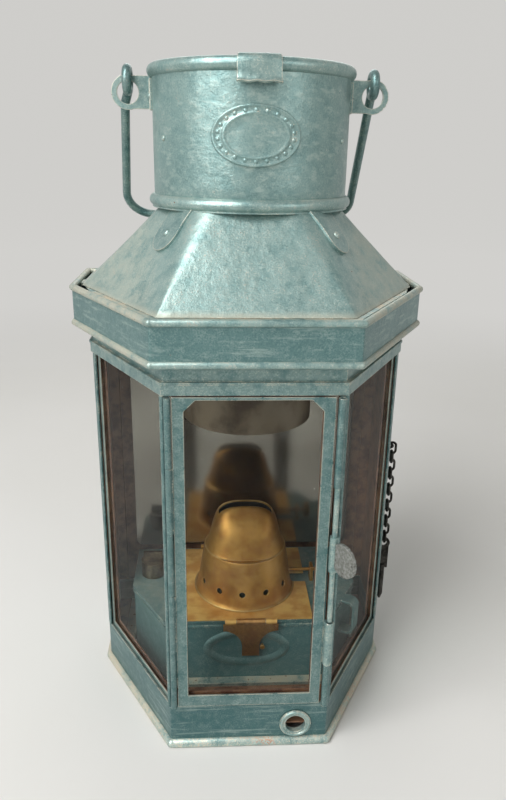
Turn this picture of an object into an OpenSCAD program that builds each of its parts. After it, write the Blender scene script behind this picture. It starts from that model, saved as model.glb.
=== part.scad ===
// Railway cabin lantern. The case is half a hexagon in plan with a flat back, glazed on its
// three front faces. It holds an oil lamp, and carries a vented roof, a drum chimney and a bail.
// Origin: on the flue axis, on the ground. +X is to the right, -Y to the front, +Z up.

/* [Case] */
// Half width of the case across its side corners
case_r = 93.5; // [91:0.5:98]
// Distance from the flue axis back to the flat back of the case
case_back = 52; // [51:0.5:56]
// Thickness of the tinned sheet
sheet_t = 1.0; // [0.8:0.1:1.1]
// Height of the base skirt
skirt_h = 30.5; // [29:0.5:33]
// Height of the underside of the floor plate
floor_z = 12; // [11:0.5:12.5]
// Diameter of the wired bead round the foot
foot_bead_d = 6; // [5:0.5:7]
// Depth of the flat on the underside of the foot bead
foot_flat = 0.5; // [0.3:0.1:0.8]
// Height of the glazed stage between skirt and frieze
stage_h = 194.5; // [190:0.5:205]
// How far the folded corner posts reach from their corners
post_reach = 3.5; // [3:0.25:4]
// Diameter of the bead on each front corner post
post_bead_d = 2.4; // [2:0.1:2.6]
// Width of the flange that closes each side panel at the back
back_flange = 8; // [6:0.5:9]

/* [Air eyelet] */
// Distance of the air eyelet from the front right corner of the skirt
eyelet_in = 18.95; // [15:0.5:26]
// Height of the air eyelet
eyelet_z = 15.4; // [15:0.2:16.5]
// Diameter of the hole through the air eyelet
eyelet_d = 12; // [10:0.5:12.5]
// Wall of the air eyelet's tube
eyelet_t = 1.0; // [0.8:0.1:1.2]
// Width of the air eyelet's flange round its tube
eyelet_flange = 2.5; // [2:0.1:2.8]

/* [Windows] */
// Thickness of the window and door panes
pane_t = 2.0; // [1.6:0.1:2.4]
// Play of each pane in its frame
pane_gap = 0.15; // [0.1:0.05:0.3]
// How far the oblique windows sit behind the face of the case
window_inset = 1.7; // [1.5:0.1:2.2]
// Distance of an oblique window's edge from the corners of its face
window_margin = 3.75; // [3.75:0.05:4.75]
// Width of the window frame's upright lips
window_lip = 2.5; // [2.2:0.1:3.5]
// Height of the window frame's lip above the skirt
window_sill = 3; // [2.5:0.1:5]

/* [Front door] */
// Distance of the door's hinge edge from the front left corner
door_hinge_side = 4.65; // [4.55:0.05:4.85]
// Distance of the door's latch edge from the front right corner
door_latch_side = 5.55; // [5.45:0.05:5.95]
// Gap under and over the door
door_gap_z = 0.8; // [0.5:0.1:1.5]
// Drop of the door's top edge below the frieze
door_drop = 0.6; // [0.5:0.1:2]
// Width of the door's stiles
stile_w = 6; // [5:0.2:7]
// Height of the door's bottom rail
bottom_rail = 7.7; // [6:0.1:9]
// Height of the door's top rail
top_rail = 1.6; // [1.4:0.1:3]
// Size of the cut corners at the top of the door's light
light_chamfer = 6; // [4:0.5:8]
// Outer diameter of the door's hinge knuckles
knuckle_d = 3.6; // [3.4:0.1:3.8]
// Diameter of the door's hinge pin
hinge_pin_d = 1.8; // [1.6:0.1:2]

/* [Latch] */
// Diameter of the latch rod
latch_rod_d = 3.0; // [2.8:0.1:3.1]
// Outer diameter of the tubes that guide the latch rod
latch_tube_d = 4.2; // [4.1:0.1:4.4]
// Diameter of the latch collar
latch_collar_d = 5.0; // [4.6:0.1:5.2]
// Length of the latch collar
latch_collar_h = 21.5; // [18:0.5:24]
// Diameter of the thumb disc
thumb_d = 19; // [16:0.5:20]
// Thickness of the thumb disc
thumb_t = 2; // [1.5:0.1:2.5]
// Travel of the latch rod from its rest down to locked
latch_drop = 33; // [31:0.5:33]

/* [Frieze and gallery] */
// Height of the frieze
frieze_h = 16.5; // [15:0.5:18]
// Height of the frieze's lower band
frieze_band_h = 7; // [6:0.5:8]
// How far the gallery stands out from the case in front
gallery_out = 8.5; // [7.5:0.1:9]
// How far the gallery stands out from the case behind
gallery_back = 5; // [5:0.1:6]
// Height of the gallery band
gallery_h = 23.5; // [22:0.5:26]
// Diameter of the two beads along the gallery band
gallery_bead_d = 4; // [3:0.2:4.4]

/* [Roof] */
// Height of the roof from its flange to the drum
roof_h = 46; // [42:0.5:50]
// How far the roof's foot stands out from the case in front
roof_out = 3; // [2.5:0.1:3.5]
// Length of the cut at each side corner of the roof flange
roof_clip = 20; // [14:0.5:24]
// Width of the straps that tie the drum to the roof
strap_w = 12; // [9:0.5:13]
// Length of those straps down the roof
strap_l = 23; // [18:0.5:26]

/* [Chimney] */
// Outer radius of the chimney drum
drum_r = 53.5; // [52:0.25:55]
// Height of the chimney drum
drum_h = 71.8; // [66:0.2:78]
// Diameter of the wired beads at the drum's foot and rim
drum_bead_d = 6.7; // [6:0.1:7]
// Outer radius of the inner chimney tube
flue_r = 39.5; // [38:0.25:41]
// Height of the lower edge of the inner chimney tube
flue_z = 186; // [180:0.5:200]
// Room round the rain baffle inside the drum
baffle_gap = 15.5; // [11.5:0.5:19.5]
// Width of the oval plate on the drum
oval_w = 45; // [40:0.5:50]
// Height of the oval plate on the drum
oval_h = 29; // [25:0.5:32]
// Height of the oval plate's centre above the drum's foot
oval_up = 36.5; // [34:0.5:39]
// Width of the clip over the drum's front rim
clip_w = 21.3; // [16:0.5:26]
// Length of the clip down the outside of the drum
clip_l = 8.5; // [6:0.5:11]

/* [Bail] */
// Diameter of the bail wire
bail_d = 5; // [4.6:0.1:5.2]
// Distance from the bail's axis to the middle of its grip
bail_reach = 85; // [84:0.5:95]
// Radius of the bail's eyes, to the middle of the wire
bail_eye_r = 5.5; // [5.4:0.1:5.7]
// How far the bail's arms stand outside its eyes
bail_arm_out = 5.2; // [4.2:0.2:7.6]
// Radius of the bail's lower bends
bail_bend_r = 14; // [10:0.5:18]
// Distance of the bail lugs' holes from the drum
lug_reach = 12.8; // [12.5:0.1:13.5]
// Outer radius of the bail lugs
lug_r = 8.8; // [8.6:0.1:9.2]
// Radius of the hole in the bail lugs
lug_hole_r = 5.8; // [5.7:0.1:6]
// Thickness of the bail lugs
lug_t = 1.6; // [1.2:0.1:1.8]
// Depth of the lug holes' centres below the drum's rim
lug_drop = 13.8; // [13:0.2:18]

/* [Oil tank] */
// Room beside the oil tank, out to the side corners of the case
tank_side = 18.5; // [17.5:0.5:20.5]
// Room in front of the oil tank, out to the front of the case
tank_bay = 41; // [40:0.5:42]
// Room behind the oil tank, out to the back of the case
tank_rear = 6; // [6:0.25:6.5]
// Height of the oil tank
tank_h = 46.2; // [44:0.2:48]
// Wall of the oil tank
tank_t = 1.0; // [0.8:0.1:1.4]
// Depth of the two flange lines round the top of the tank
tank_flange = 0.8; // [0.6:0.1:0.9]
// Width of the pressed oval boss on the tank's front
boss_w = 53; // [45:0.5:56]
// Height of the pressed oval boss on the tank's front
boss_h = 26; // [22:0.5:27]
// How far the tank's handle stands out
handle_out = 10.5; // [9.5:0.25:10.5]
// Width of the handle strap
handle_w = 9; // [7:0.5:11]
// Height of the handle
handle_h = 25; // [22:0.5:27]
// Outer diameter of the filler cap
filler_d = 16; // [14.5:0.5:17]

/* [Burner] */
// Half width of the burner plate
plate_half = 42; // [40:0.5:44]
// Thickness of the burner plate
plate_t = 1.0; // [0.8:0.1:1.2]
// Radius of the burner cone at the plate
cone_r = 31.5; // [30.5:0.25:32]
// Wall of the burner cone and the flame cap
cone_t = 0.9; // [0.7:0.1:1.1]
// Height of the seam between cone and flame cap above the plate
cone_h = 31; // [29:0.5:33]
// Height of the flame cap
cap_h = 29.6; // [28:0.2:31]
// Number of air holes round the cone
cone_holes = 12; // [9:1:12]
// Diameter of the air holes
cone_hole_d = 4; // [3:0.2:4.4]
// Length of the flame slot
slot_l = 35; // [30:0.5:36]
// Width of the flame slot
slot_w = 6; // [5:0.5:8]
// Width of the wick
wick_w = 25.4; // [22:0.2:26]
// Thickness of the wick
wick_t = 3.2; // [2.6:0.1:3.4]
// Diameter of the winder spindle
spindle_d = 2.4; // [2.2:0.1:2.6]
// Diameter of the winder knob
winder_knob_d = 12; // [10:0.5:12.5]
// Width of the hasp across its shoulders
hasp_w = 35; // [32:0.5:37]
// Width of the hasp's tip
hasp_tip_w = 11; // [9:0.5:12]
// Length of the hasp from its pivot to its tip
hasp_l = 26; // [24:0.5:28]

/* [Back flap] */
// Distance of the back flap's edges from the sides of the case
flap_side = 1.5; // [1:0.5:3.5]
// Height of the flap's lower edge
flap_z = 8; // [7:0.5:9]
// Distance of the reflector's edges from the sides of the case
reflector_side = 23.5; // [21.5:0.5:27.5]
// Thickness of the reflector
reflector_t = 0.8; // [0.6:0.1:1]
// Distance of the reflector's face from the back of the case
reflector_rear = 4; // [3.8:0.1:4.2]

/* [Chain] */
// Diameter of the chain wire
chain_d = 1.6; // [1.4:0.1:1.6]
// Inner length of a chain link
link_in = 6.4; // [6:0.2:7]
// Inner width of a chain link
link_w = 3.2; // [3:0.1:3.4]
// Number of links in the chain
link_count = 12; // [8:1:13]
// Height of the staple that carries the chain
staple_z = 157; // [150:1:165]
// Distance of the staple behind the flue axis
staple_y = 12; // [8:0.5:16]
// Length of the locking peg
peg_l = 47; // [40:1:50]

/* [Fits] */
// Running clearance of a pin or rod in its bore, on the radius
run_gap = 0.05; // [0.03:0.01:0.08]
// Gap between parts that lie close without touching
rest_gap = 0.3; // [0.3:0.05:0.4]
// Gap between sheets of the case that are soldered face to face
seam_gap = 0.05; // [0.02:0.01:0.1]

/* [Hidden] */
$fn = 48;

paint = [0.33, 0.50, 0.52];
brass = [0.66, 0.48, 0.20];
steel = [0.55, 0.55, 0.52];
tank_green = [0.20, 0.36, 0.32];
red_oxide = [0.36, 0.16, 0.11];
pane_tint = [0.75, 0.82, 0.80, 0.35];

case_f = case_r * cos(30);
case_fc = case_r / 2;
window_half = case_fc - window_margin;
door_left = case_fc - door_hinge_side;
door_right = case_fc - door_latch_side;
eyelet_x = case_fc - eyelet_in;
tank_half = case_r - tank_side;
tank_front = case_f - tank_bay;
tank_back = case_back - tank_rear;
flap_half = case_r - flap_side;
reflector_half = case_r - reflector_side;
reflector_y = case_back - reflector_rear;
lug_x = drum_r + lug_reach;
bail_arm_x = lug_x + bail_arm_out;
baffle_r = drum_r - baffle_gap;
frieze_z = skirt_h + stage_h;
crown_z = frieze_z + frieze_h;
roof_z = crown_z + gallery_h;
drum_z = roof_z + roof_h;
rim_z = drum_z + drum_h;
floor_top = floor_z + sheet_t;
foot_bead_z = foot_bead_d / 2 - foot_flat;

// A closed outline in plan at a distance outside the case: in front, at the sides and behind
function plan(off, back_off) =
    let (r = case_r + off / cos(30), b = case_back + back_off)
    [[-r / 2, -r * cos(30)], [r / 2, -r * cos(30)], [r, 0], [r, b], [-r, b], [-r, 0]];
function oval(w, h, n = 40) = [for (i = [0 : n - 1]) [w / 2 * cos(360 * i / n), h / 2 * sin(360 * i / n)]];

// A solid on that outline between two heights
module slab(off, back_off, z0, z1) {
    translate([0, 0, z0]) linear_extrude(z1 - z0) polygon(plan(off, back_off));
}

// A sheet wall of thickness t inside that outline
module wall(off, back_off, t, z0, z1) {
    difference() {
        slab(off, back_off, z0, z1);
        slab(off - t, back_off - t, z0 - 1, z1 + 1);
    }
}

// A round bar between two points
module rod(p, q, d) {
    v = q - p;
    translate(p) rotate([0, acos(v[2] / norm(v)), atan2(v[1], v[0])]) cylinder(d = d, h = norm(v));
}

// The twelve sides of a wired edge round a point of a section, from one angle to another
function wired(x, z, d, from, to) =
    [for (a = [from : 30 : to]) [x + d / 2 / cos(15) * cos(a), max(0, z + d / 2 / cos(15) * sin(a))]];

// A section of distances outside the case and heights, carried round it with mitred corners.
// Behind the case it stands further out by back.
module case_ring(section, back = 0) {
    n = len(section);
    m = len(plan(0, 0));
    polyhedron(
        points = [for (s = section) for (p = plan(s[0], s[0] + back)) [p[0], p[1], s[1]]],
        faces = [for (k = [0 : n - 1]) for (i = [0 : m - 1])
            [k * m + i, (k + 1) % n * m + i, (k + 1) % n * m + (i + 1) % m, k * m + (i + 1) % m]]);
}

// A tube with its axis up
module tube(od, id, z0, z1) {
    translate([0, 0, z0]) difference() {
        cylinder(d = od, h = z1 - z0);
        translate([0, 0, -1]) cylinder(d = id, h = z1 - z0 + 2);
    }
}

// A ring of round wire about the Z axis, or part of one
module wire_ring(r, d, turn = 360) {
    rotate_extrude(angle = turn) translate([r, 0]) circle(d = d);
}

module mirrored() {
    children();
    mirror([1, 0, 0]) children();
}

// The parts of the case.

eyelet_tube_d = eyelet_d + 2 * eyelet_t;
bay_half = tank_half + 4;
foot_bead_out = -sheet_t * 0.3;

module base_skirt() color(paint) difference() {
    case_ring(concat(
        [[0, skirt_h], [-sheet_t, skirt_h], [-sheet_t, foot_bead_z + foot_bead_d / 2]],
        wired(foot_bead_out, foot_bead_z, foot_bead_d, 105, 435),
        [[0, foot_bead_z + foot_bead_d / 2]]));
    translate([-bay_half, case_back - 2 * sheet_t, floor_z]) cube([2 * bay_half, 4 * sheet_t, skirt_h]);
    translate([eyelet_x, -case_f, eyelet_z]) rotate([90, 0, 0])
        cylinder(d = eyelet_tube_d + 2 * seam_gap, h = 4 * sheet_t, center = true);
}

module air_eyelet() color(paint) translate([eyelet_x, -case_f, eyelet_z]) rotate([90, 0, 0])
    difference() {
        union() {
            translate([0, 0, -2.5 * sheet_t]) cylinder(d = eyelet_tube_d, h = 3.5 * sheet_t);
            translate([0, 0, seam_gap]) cylinder(d = eyelet_tube_d + 2 * eyelet_flange, h = 0.9);
            translate([0, 0, seam_gap + 0.9])
                wire_ring(eyelet_tube_d / 2 + eyelet_flange / 2, eyelet_flange * 0.7);
        }
        translate([0, 0, -3 * sheet_t]) cylinder(d = eyelet_d, h = 6 * sheet_t);
    }

module base_floor() color(red_oxide) difference() {
    slab(-sheet_t - seam_gap, -sheet_t - seam_gap, floor_z, floor_top);
    translate([eyelet_x, -case_f, eyelet_z]) rotate([90, 0, 0])
        cylinder(d = eyelet_tube_d + 2 * rest_gap, h = 7 * sheet_t, center = true);
}

tank_z = floor_top + rest_gap;
tank_top = tank_z + tank_h;
stop_w = 6;
guide_h = 8;

module tank_guides() color(paint) {
    translate([-tank_half * 0.68, -tank_front - rest_gap - stop_w, floor_top])
        cube([tank_half * 1.36, stop_w, 2.5]);
    mirrored() translate([tank_half + 0.5, 0, floor_top]) {
        cube([sheet_t, case_back - 2 * sheet_t, guide_h]);
        cube([guide_h, case_back - 2 * sheet_t, sheet_t]);
    }
}

post_bead_x = case_fc + 0.15;
post_bead_y = -case_f + 0.4;
post_inner = post_bead_x - post_bead_d / 2 - seam_gap;

module corner_posts() color(paint) {
    mirrored() for (corner = [[case_fc, -case_f], [case_r, 0]]) intersection() {
        wall(0, 0, sheet_t, skirt_h, frieze_z);
        translate([corner[0], corner[1], skirt_h - 1]) cylinder(r = post_reach, h = stage_h + 2);
    }
    mirrored() translate([post_bead_x, post_bead_y, skirt_h]) cylinder(d = post_bead_d, h = stage_h);
}

module side_panel() intersection() {
    wall(0, 0, sheet_t, skirt_h, frieze_z);
    translate([case_r - back_flange, post_reach + seam_gap, skirt_h - 1])
        cube([back_flange + 1, case_back, stage_h + 2]);
}
module side_panel_left() color(paint) mirror([1, 0, 0]) side_panel();
module side_panel_right() color(paint) side_panel();

// A folded frame with a slot for its pane. Its outer face is at y, and it runs from x0 to x1.
sash_depth = 2 * sheet_t + pane_t + 2 * pane_gap;
module sash_frame(x0, x1, z0, z1, y, lip, sill, head, cut) difference() {
    translate([x0, y, z0]) cube([x1 - x0, sash_depth, z1 - z0]);
    translate([x0 + sheet_t, y + sheet_t, z0 + sheet_t])
        cube([x1 - x0 - 2 * sheet_t, pane_t + 2 * pane_gap, z1 - z0 - 2 * sheet_t]);
    translate([0, y + sash_depth + 1, 0]) rotate([90, 0, 0]) linear_extrude(sash_depth + 2)
        polygon([[x0 + lip, z0 + sill], [x1 - lip, z0 + sill], [x1 - lip, z1 - head - cut],
            [x1 - lip - cut, z1 - head], [x0 + lip + cut, z1 - head], [x0 + lip, z1 - head - cut]]);
}
module sash_pane(x0, x1, z0, z1, y) {
    in = sheet_t + pane_gap;
    translate([x0 + in, y + in, z0 + in]) cube([x1 - x0 - 2 * in, pane_t, z1 - z0 - 2 * in]);
}

window_y = -case_f + window_inset;
window_z0 = skirt_h - 3.5;
window_z1 = frieze_z + 3;

module window_frame(side) rotate([0, 0, 60 * side])
    sash_frame(-window_half, window_half, window_z0, window_z1, window_y,
        window_lip, skirt_h - window_z0 + window_sill, window_z1 - frieze_z + 1, 0.01);
module window_pane(side) rotate([0, 0, 60 * side])
    sash_pane(-window_half, window_half, window_z0, window_z1, window_y);
module window_frame_left() color(paint) window_frame(-1);
module window_frame_right() color(paint) window_frame(1);
module window_pane_left() color(pane_tint) window_pane(-1);
module window_pane_right() color(pane_tint) window_pane(1);

frieze_out = 0.9;
frieze_in = 0.6;
ridge_h = 1.2;

module frieze() color(paint) {
    wall(frieze_out, frieze_out, sheet_t, frieze_z, frieze_z + frieze_band_h);
    wall(frieze_out + 0.5, frieze_out + 0.5, frieze_out + 0.5 + frieze_in + sheet_t,
        frieze_z + frieze_band_h - ridge_h, frieze_z + frieze_band_h);
    wall(-frieze_in, -frieze_in, sheet_t, frieze_z + frieze_band_h - ridge_h, crown_z);
}

module crown_plate() color(red_oxide) difference() {
    slab(-frieze_in - sheet_t - seam_gap, -frieze_in - sheet_t - seam_gap, crown_z - sheet_t, crown_z);
    translate([0, 0, crown_z - 2 * sheet_t]) cylinder(r = flue_r + seam_gap, h = 3 * sheet_t);
}

flue_top = drum_z - 10;
flue_flange = 4;
module inner_chimney() color(red_oxide) {
    tube(2 * flue_r, 2 * (flue_r - sheet_t), flue_z, flue_top);
    tube(2 * (flue_r + flue_flange), 2 * (flue_r + seam_gap), crown_z, crown_z + sheet_t);
}

gallery_bead_out = gallery_out - sheet_t / 2;
gallery_bead_back = gallery_back - sheet_t / 2;
shelf_in = -frieze_in - 4;
gallery_low = crown_z + 1.5;
gallery_high = roof_z - 1.2;

module gallery_band() color(paint) {
    low = wired(gallery_bead_out, gallery_low, gallery_bead_d, 105, 435);
    wall_low = gallery_low + gallery_bead_d / 2;
    wall_high = gallery_high - gallery_bead_d / 2;
    case_ring(concat(
        [[shelf_in, low[3][1]], [shelf_in, low[4][1]]],
        [for (i = [4 : 11]) low[i]],
        [[gallery_out, wall_low], [gallery_out, wall_high]],
        wired(gallery_bead_out, gallery_high, gallery_bead_d, 285, 615),
        [[gallery_out - sheet_t, wall_high], [gallery_out - sheet_t, wall_low]],
        [for (i = [0 : 3]) low[i]]), gallery_back - gallery_out);
}

flange_out = gallery_bead_out - gallery_bead_d / 2 - 0.2;
flange_back = gallery_bead_back - gallery_bead_d / 2 - 0.2;
flange_side = case_r + roof_out / cos(30) + 1;
lug_in = 3;
lug_end = case_r + (gallery_bead_out - gallery_bead_d / 2) / cos(30) - seam_gap;

module gallery_lugs() color(paint) mirrored()
    translate([flange_side - lug_in, 14, roof_z - 2 * sheet_t - 1])
        cube([lug_end - flange_side + lug_in, 10, sheet_t + 1]);

// The flange's outline: it follows the gallery, is cut off at the side corners and open along the sides
function flange_outline() =
    let (r = case_r + flange_out / cos(30), c = [r - roof_clip / 2, -roof_clip * cos(30)],
        b = case_back + flange_back)
    [[-r / 2, -r * cos(30)], [r / 2, -r * cos(30)], c, [flange_side, roof_clip * 0.4], [flange_side, b],
        [-flange_side, b], [-flange_side, roof_clip * 0.4], [-c[0], c[1]]];

module roof() color(paint) {
    difference() {
        hull() {
            slab(roof_out, 0, roof_z, roof_z + 0.2);
            translate([0, 0, drum_z]) cylinder(r = drum_r, h = 0.2, $fn = 64);
        }
        hull() {
            slab(roof_out - sheet_t, -sheet_t, roof_z - 0.5, roof_z);
            translate([0, 0, drum_z + 0.2]) cylinder(r = drum_r - sheet_t, h = 0.5, $fn = 64);
        }
    }
    translate([0, 0, roof_z - sheet_t]) linear_extrude(sheet_t + 0.1) difference() {
        polygon(flange_outline());
        polygon(plan(roof_out - sheet_t, -sheet_t));
    }
    collar_od = 2 * (drum_r - sheet_t) - 0.2;
    tube(collar_od, collar_od - 2 * sheet_t, drum_z - 0.5, drum_z + 7);
    tube(2 * drum_r - 0.4, collar_od - 2 * sheet_t, drum_z - 0.5, drum_z + 0.1);
}

// A strap lies on the roof below the drum. Its foot distance sets the slope that it follows.
module strap(foot, shift) {
    tilt = atan2(foot - drum_r, roof_h);
    translate([shift, -drum_r, drum_z]) rotate([-tilt, 0, 0])
        translate([0, -rest_gap - sheet_t, 0]) rotate([-90, 0, 0]) linear_extrude(sheet_t) {
            translate([-strap_w / 2, 1.5]) square([strap_w, strap_l - strap_w / 2 - 1.5]);
            translate([0, strap_l - strap_w / 2]) circle(d = strap_w);
        }
}
module roof_straps() color(paint) {
    for (side = [-1, 1]) rotate([0, 0, 60 * side]) strap(case_f + roof_out, -8.5 * side);
    rotate([0, 0, 180]) strap(case_back, 0);
}

// The drum and what is on it.

rim_bead_r = drum_r - 0.85;
foot_roll_r = drum_r - 0.6;

module chimney_drum() color(paint) rotate_extrude() {
    translate([drum_r - sheet_t, drum_z + 0.4]) square([sheet_t, drum_h - drum_bead_d / 2 - 0.4]);
    translate([rim_bead_r, rim_z - drum_bead_d / 2]) circle(d = drum_bead_d);
    intersection() {
        translate([foot_roll_r, drum_z + drum_bead_d / 2 + 0.2]) circle(d = drum_bead_d);
        translate([drum_r - sheet_t, drum_z]) square([drum_bead_d, drum_bead_d * 2]);
    }
}

oval_z = drum_z + oval_up;
oval_t = 0.5;
oval_rise = 0.7;
oval_rim_w = 1.5;
oval_pips = 22;

module oval_bar(w, h) translate([0, 0, oval_z]) rotate([90, 0, 0])
    linear_extrude(2 * drum_r) polygon(oval(w, h));

module drum_skin(t) difference() {
    translate([0, 0, drum_z]) cylinder(r = drum_r + seam_gap + t, h = drum_h);
    translate([0, 0, drum_z - 1]) cylinder(r = drum_r + seam_gap, h = drum_h + 2);
}

// What is sunk between the ridges of the plate, down to its face
module oval_sunk(w, h) difference() {
    oval_bar(w, h);
    translate([0, 0, drum_z]) cylinder(r = drum_r + seam_gap + oval_t, h = drum_h);
}

module oval_plate() color(paint) difference() {
    intersection() {
        drum_skin(oval_t + oval_rise);
        oval_bar(oval_w, oval_h);
    }
    difference() {
        oval_sunk(oval_w - 2 * oval_rim_w, oval_h - 2 * oval_rim_w);
        oval_bar(oval_w * 0.77, oval_h * 0.73);
        for (i = [0 : oval_pips - 1]) {
            a = 360 * (i + 0.5) / oval_pips;
            translate([oval_w * 0.425 * cos(a), 0, oval_z + oval_h * 0.405 * sin(a)])
                rotate([90, 0, 0]) cylinder(d = 1.8, h = 2 * drum_r);
        }
    }
    oval_sunk(oval_w * 0.77 - 2.6, oval_h * 0.73 - 2.6);
}

module rim_clip() color(paint) {
    arc = clip_w / (drum_r + drum_bead_d / 2) * 180 / PI;
    in_r = drum_bead_d / 2 + 0.1;
    roll_z = rim_z - drum_bead_d / 2;
    rotate([0, 0, -90 - arc / 2 + 0.9]) rotate_extrude(angle = arc) {
        intersection() {
            difference() {
                translate([rim_bead_r, roll_z]) circle(r = in_r + sheet_t);
                translate([rim_bead_r, roll_z]) circle(r = in_r);
            }
            translate([rim_bead_r - 2 * in_r, roll_z]) square(4 * in_r);
        }
        translate([rim_bead_r + in_r, roll_z - clip_l + 1]) square([sheet_t, clip_l - 1]);
        translate([rim_bead_r - in_r - sheet_t, roll_z - clip_l]) square([sheet_t, clip_l]);
        translate([rim_bead_r + in_r + sheet_t, roll_z - clip_l + 1]) circle(r = 1.3);
    }
}

module rain_baffle() color(red_oxide) translate([0, 0, drum_z + 26]) {
    rotate_extrude() polygon([[0, 8], [baffle_r, 0], [baffle_r, sheet_t], [0, 8 + sheet_t]]);
    for (a = [90, 210, 330]) rotate([0, 0, a]) translate([baffle_r - 2, -4, 0])
        cube([drum_r - sheet_t - 0.2 - baffle_r + 2, 8, sheet_t]);
}

lug_z = rim_z - lug_drop;

module bail_lugs() color(paint) mirrored() {
    difference() {
        union() {
            translate([lug_x, 0, lug_z]) rotate([90, 0, 0]) cylinder(r = lug_r, h = lug_t, center = true);
            translate([drum_r + 0.3, -lug_t / 2, lug_z - lug_r * 0.7])
                cube([lug_x - drum_r - 0.3, lug_t, lug_r * 1.4]);
            intersection() {
                drum_skin(1.2);
                translate([0, -8, lug_z - lug_r]) cube([2 * drum_r, 16, lug_r * 1.75]);
            }
        }
        translate([lug_x, 0, lug_z]) rotate([90, 0, 0]) cylinder(r = lug_hole_r, h = 4 * lug_t, center = true);
    }
}

// The bail's eyes go round the upper rims of the lugs, and the bail rests on the drum's foot behind
bail_z = lug_z + lug_r + rest_gap - (bail_eye_r - bail_d / 2);
drum_foot_out = foot_roll_r + drum_bead_d / 2;
bail_rest = asin((drum_foot_out + bail_d / 2 + rest_gap) / bail_reach);

module bail() color(steel) translate([0, 0, bail_z]) rotate([bail_rest, 0, 0]) {
    bend_x = bail_arm_x - bail_bend_r;
    bend_z = -bail_reach + bail_bend_r;
    mirrored() {
        translate([lug_x, 0, 0]) rotate([0, 90, 0]) wire_ring(bail_eye_r, bail_d);
        translate([lug_x, 0, -bail_eye_r]) sphere(d = bail_d);
        rod([lug_x, 0, -bail_eye_r], [bail_arm_x, 0, -3.2 * bail_eye_r], bail_d);
        translate([bail_arm_x, 0, -3.2 * bail_eye_r]) sphere(d = bail_d);
        rod([bail_arm_x, 0, -3.2 * bail_eye_r], [bail_arm_x, 0, bend_z], bail_d);
        translate([bend_x, 0, bend_z]) rotate([90, 0, 0]) rotate([0, 0, -90])
            wire_ring(bail_bend_r, bail_d, 90);
    }
    rod([-bend_x, 0, -bail_reach], [bend_x, 0, -bail_reach], bail_d);
}

// The front door, its hinge and its latch.

door_z0 = skirt_h + door_gap_z;
door_z1 = frieze_z - door_drop;
door_y = -case_f - 1.6;
hinge_x = -(door_left + knuckle_d / 2 + 0.4);
hinge_y = door_y - 0.4;
knuckle_count = 5;
knuckle_h = (door_z1 - door_z0) / knuckle_count;

// Every second knuckle, starting with the first or the second
module knuckles(first) {
    for (i = [first : 2 : knuckle_count - 1])
        tube(knuckle_d, hinge_pin_d + 2 * run_gap, door_z0 + i * knuckle_h + (i == 0 ? 0 : rest_gap / 2),
            door_z0 + (i + 1) * knuckle_h - (i == knuckle_count - 1 ? 0 : rest_gap / 2));
}
module knuckle_leaves(first, x0, x1) {
    for (i = [first : 2 : knuckle_count - 1])
        translate([x0, -sheet_t / 2, door_z0 + i * knuckle_h + rest_gap])
            cube([x1 - x0, sheet_t, knuckle_h - 2 * rest_gap]);
}

module door_hinge_tubes() color(paint) {
    translate([hinge_x, hinge_y, 0]) knuckles(0);
    leaf_x = -post_inner;
    for (i = [0 : 2 : knuckle_count - 1])
        translate([leaf_x, -case_f - sheet_t - seam_gap, door_z0 + i * knuckle_h + rest_gap])
            cube([hinge_x - leaf_x, sheet_t, knuckle_h - 2 * rest_gap]);
}

module door_hinge_pin() color(steel) translate([hinge_x, hinge_y, door_z0])
    cylinder(d = hinge_pin_d, h = door_z1 - door_z0);

module door_knuckles() color(paint) translate([hinge_x, hinge_y, 0]) difference() {
    union() {
        knuckles(1);
        knuckle_leaves(1, knuckle_d / 2 - 0.3, -hinge_x - door_left - seam_gap);
    }
    translate([0, 0, door_z0 - 1]) cylinder(d = hinge_pin_d + 2 * run_gap, h = door_z1 - door_z0 + 2);
}

module door_frame() color(paint)
    sash_frame(-door_left, door_right, door_z0, door_z1, door_y, stile_w, bottom_rail, top_rail, light_chamfer);
module door_pane() color(pane_tint) sash_pane(-door_left, door_right, door_z0, door_z1, door_y);

latch_x = door_right + 3;
latch_y = door_y - 1.3;
latch_bore_d = latch_rod_d + 2 * run_gap;
latch_loose_d = latch_rod_d + 2 * rest_gap;
latch_low = door_z0 + 29.5;
latch_home = latch_low + 29.3;
latch_collar_z = latch_home + latch_drop + rest_gap;
latch_high = latch_collar_z + latch_collar_h + 29.5;
web_y = latch_tube_d / 2 - 0.9;

module latch_guides() color(paint) translate([latch_x, latch_y, 0])
    for (span = [[door_z0, latch_low], [latch_high, door_z1]]) difference() {
        union() {
            tube(latch_tube_d, latch_bore_d, span[0], span[1]);
            translate([0, web_y, span[0]])
                cube([post_inner - latch_x, -case_f - seam_gap - latch_y - web_y, span[1] - span[0]]);
        }
        translate([0, 0, span[0] - 1]) cylinder(d = latch_bore_d, h = span[1] - span[0] + 2);
    }

module latch_knuckle() color(paint) translate([latch_x, latch_y, 0]) difference() {
    leaf_y = door_y - latch_y + 0.2;
    union() {
        tube(latch_collar_d, latch_loose_d, latch_low + rest_gap, latch_home - rest_gap);
        translate([door_right + seam_gap - latch_x, leaf_y, latch_low + rest_gap])
            cube([latch_x - door_right - seam_gap - latch_rod_d / 2, sheet_t, latch_home - latch_low - 2 * rest_gap]);
    }
    translate([0, 0, latch_low]) cylinder(d = latch_loose_d, h = latch_home - latch_low);
}

latch_rod_z = latch_home + rest_gap;
latch_rod_top = door_z1 - 30;
module latch_rod() color(steel) translate([latch_x, latch_y, latch_rod_z])
    cylinder(d = latch_rod_d, h = latch_rod_top - latch_rod_z);

module latch_collar() color(paint) translate([latch_x, latch_y, 0])
    tube(latch_collar_d, latch_rod_d + 2 * seam_gap, latch_collar_z, latch_collar_z + latch_collar_h);

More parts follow.
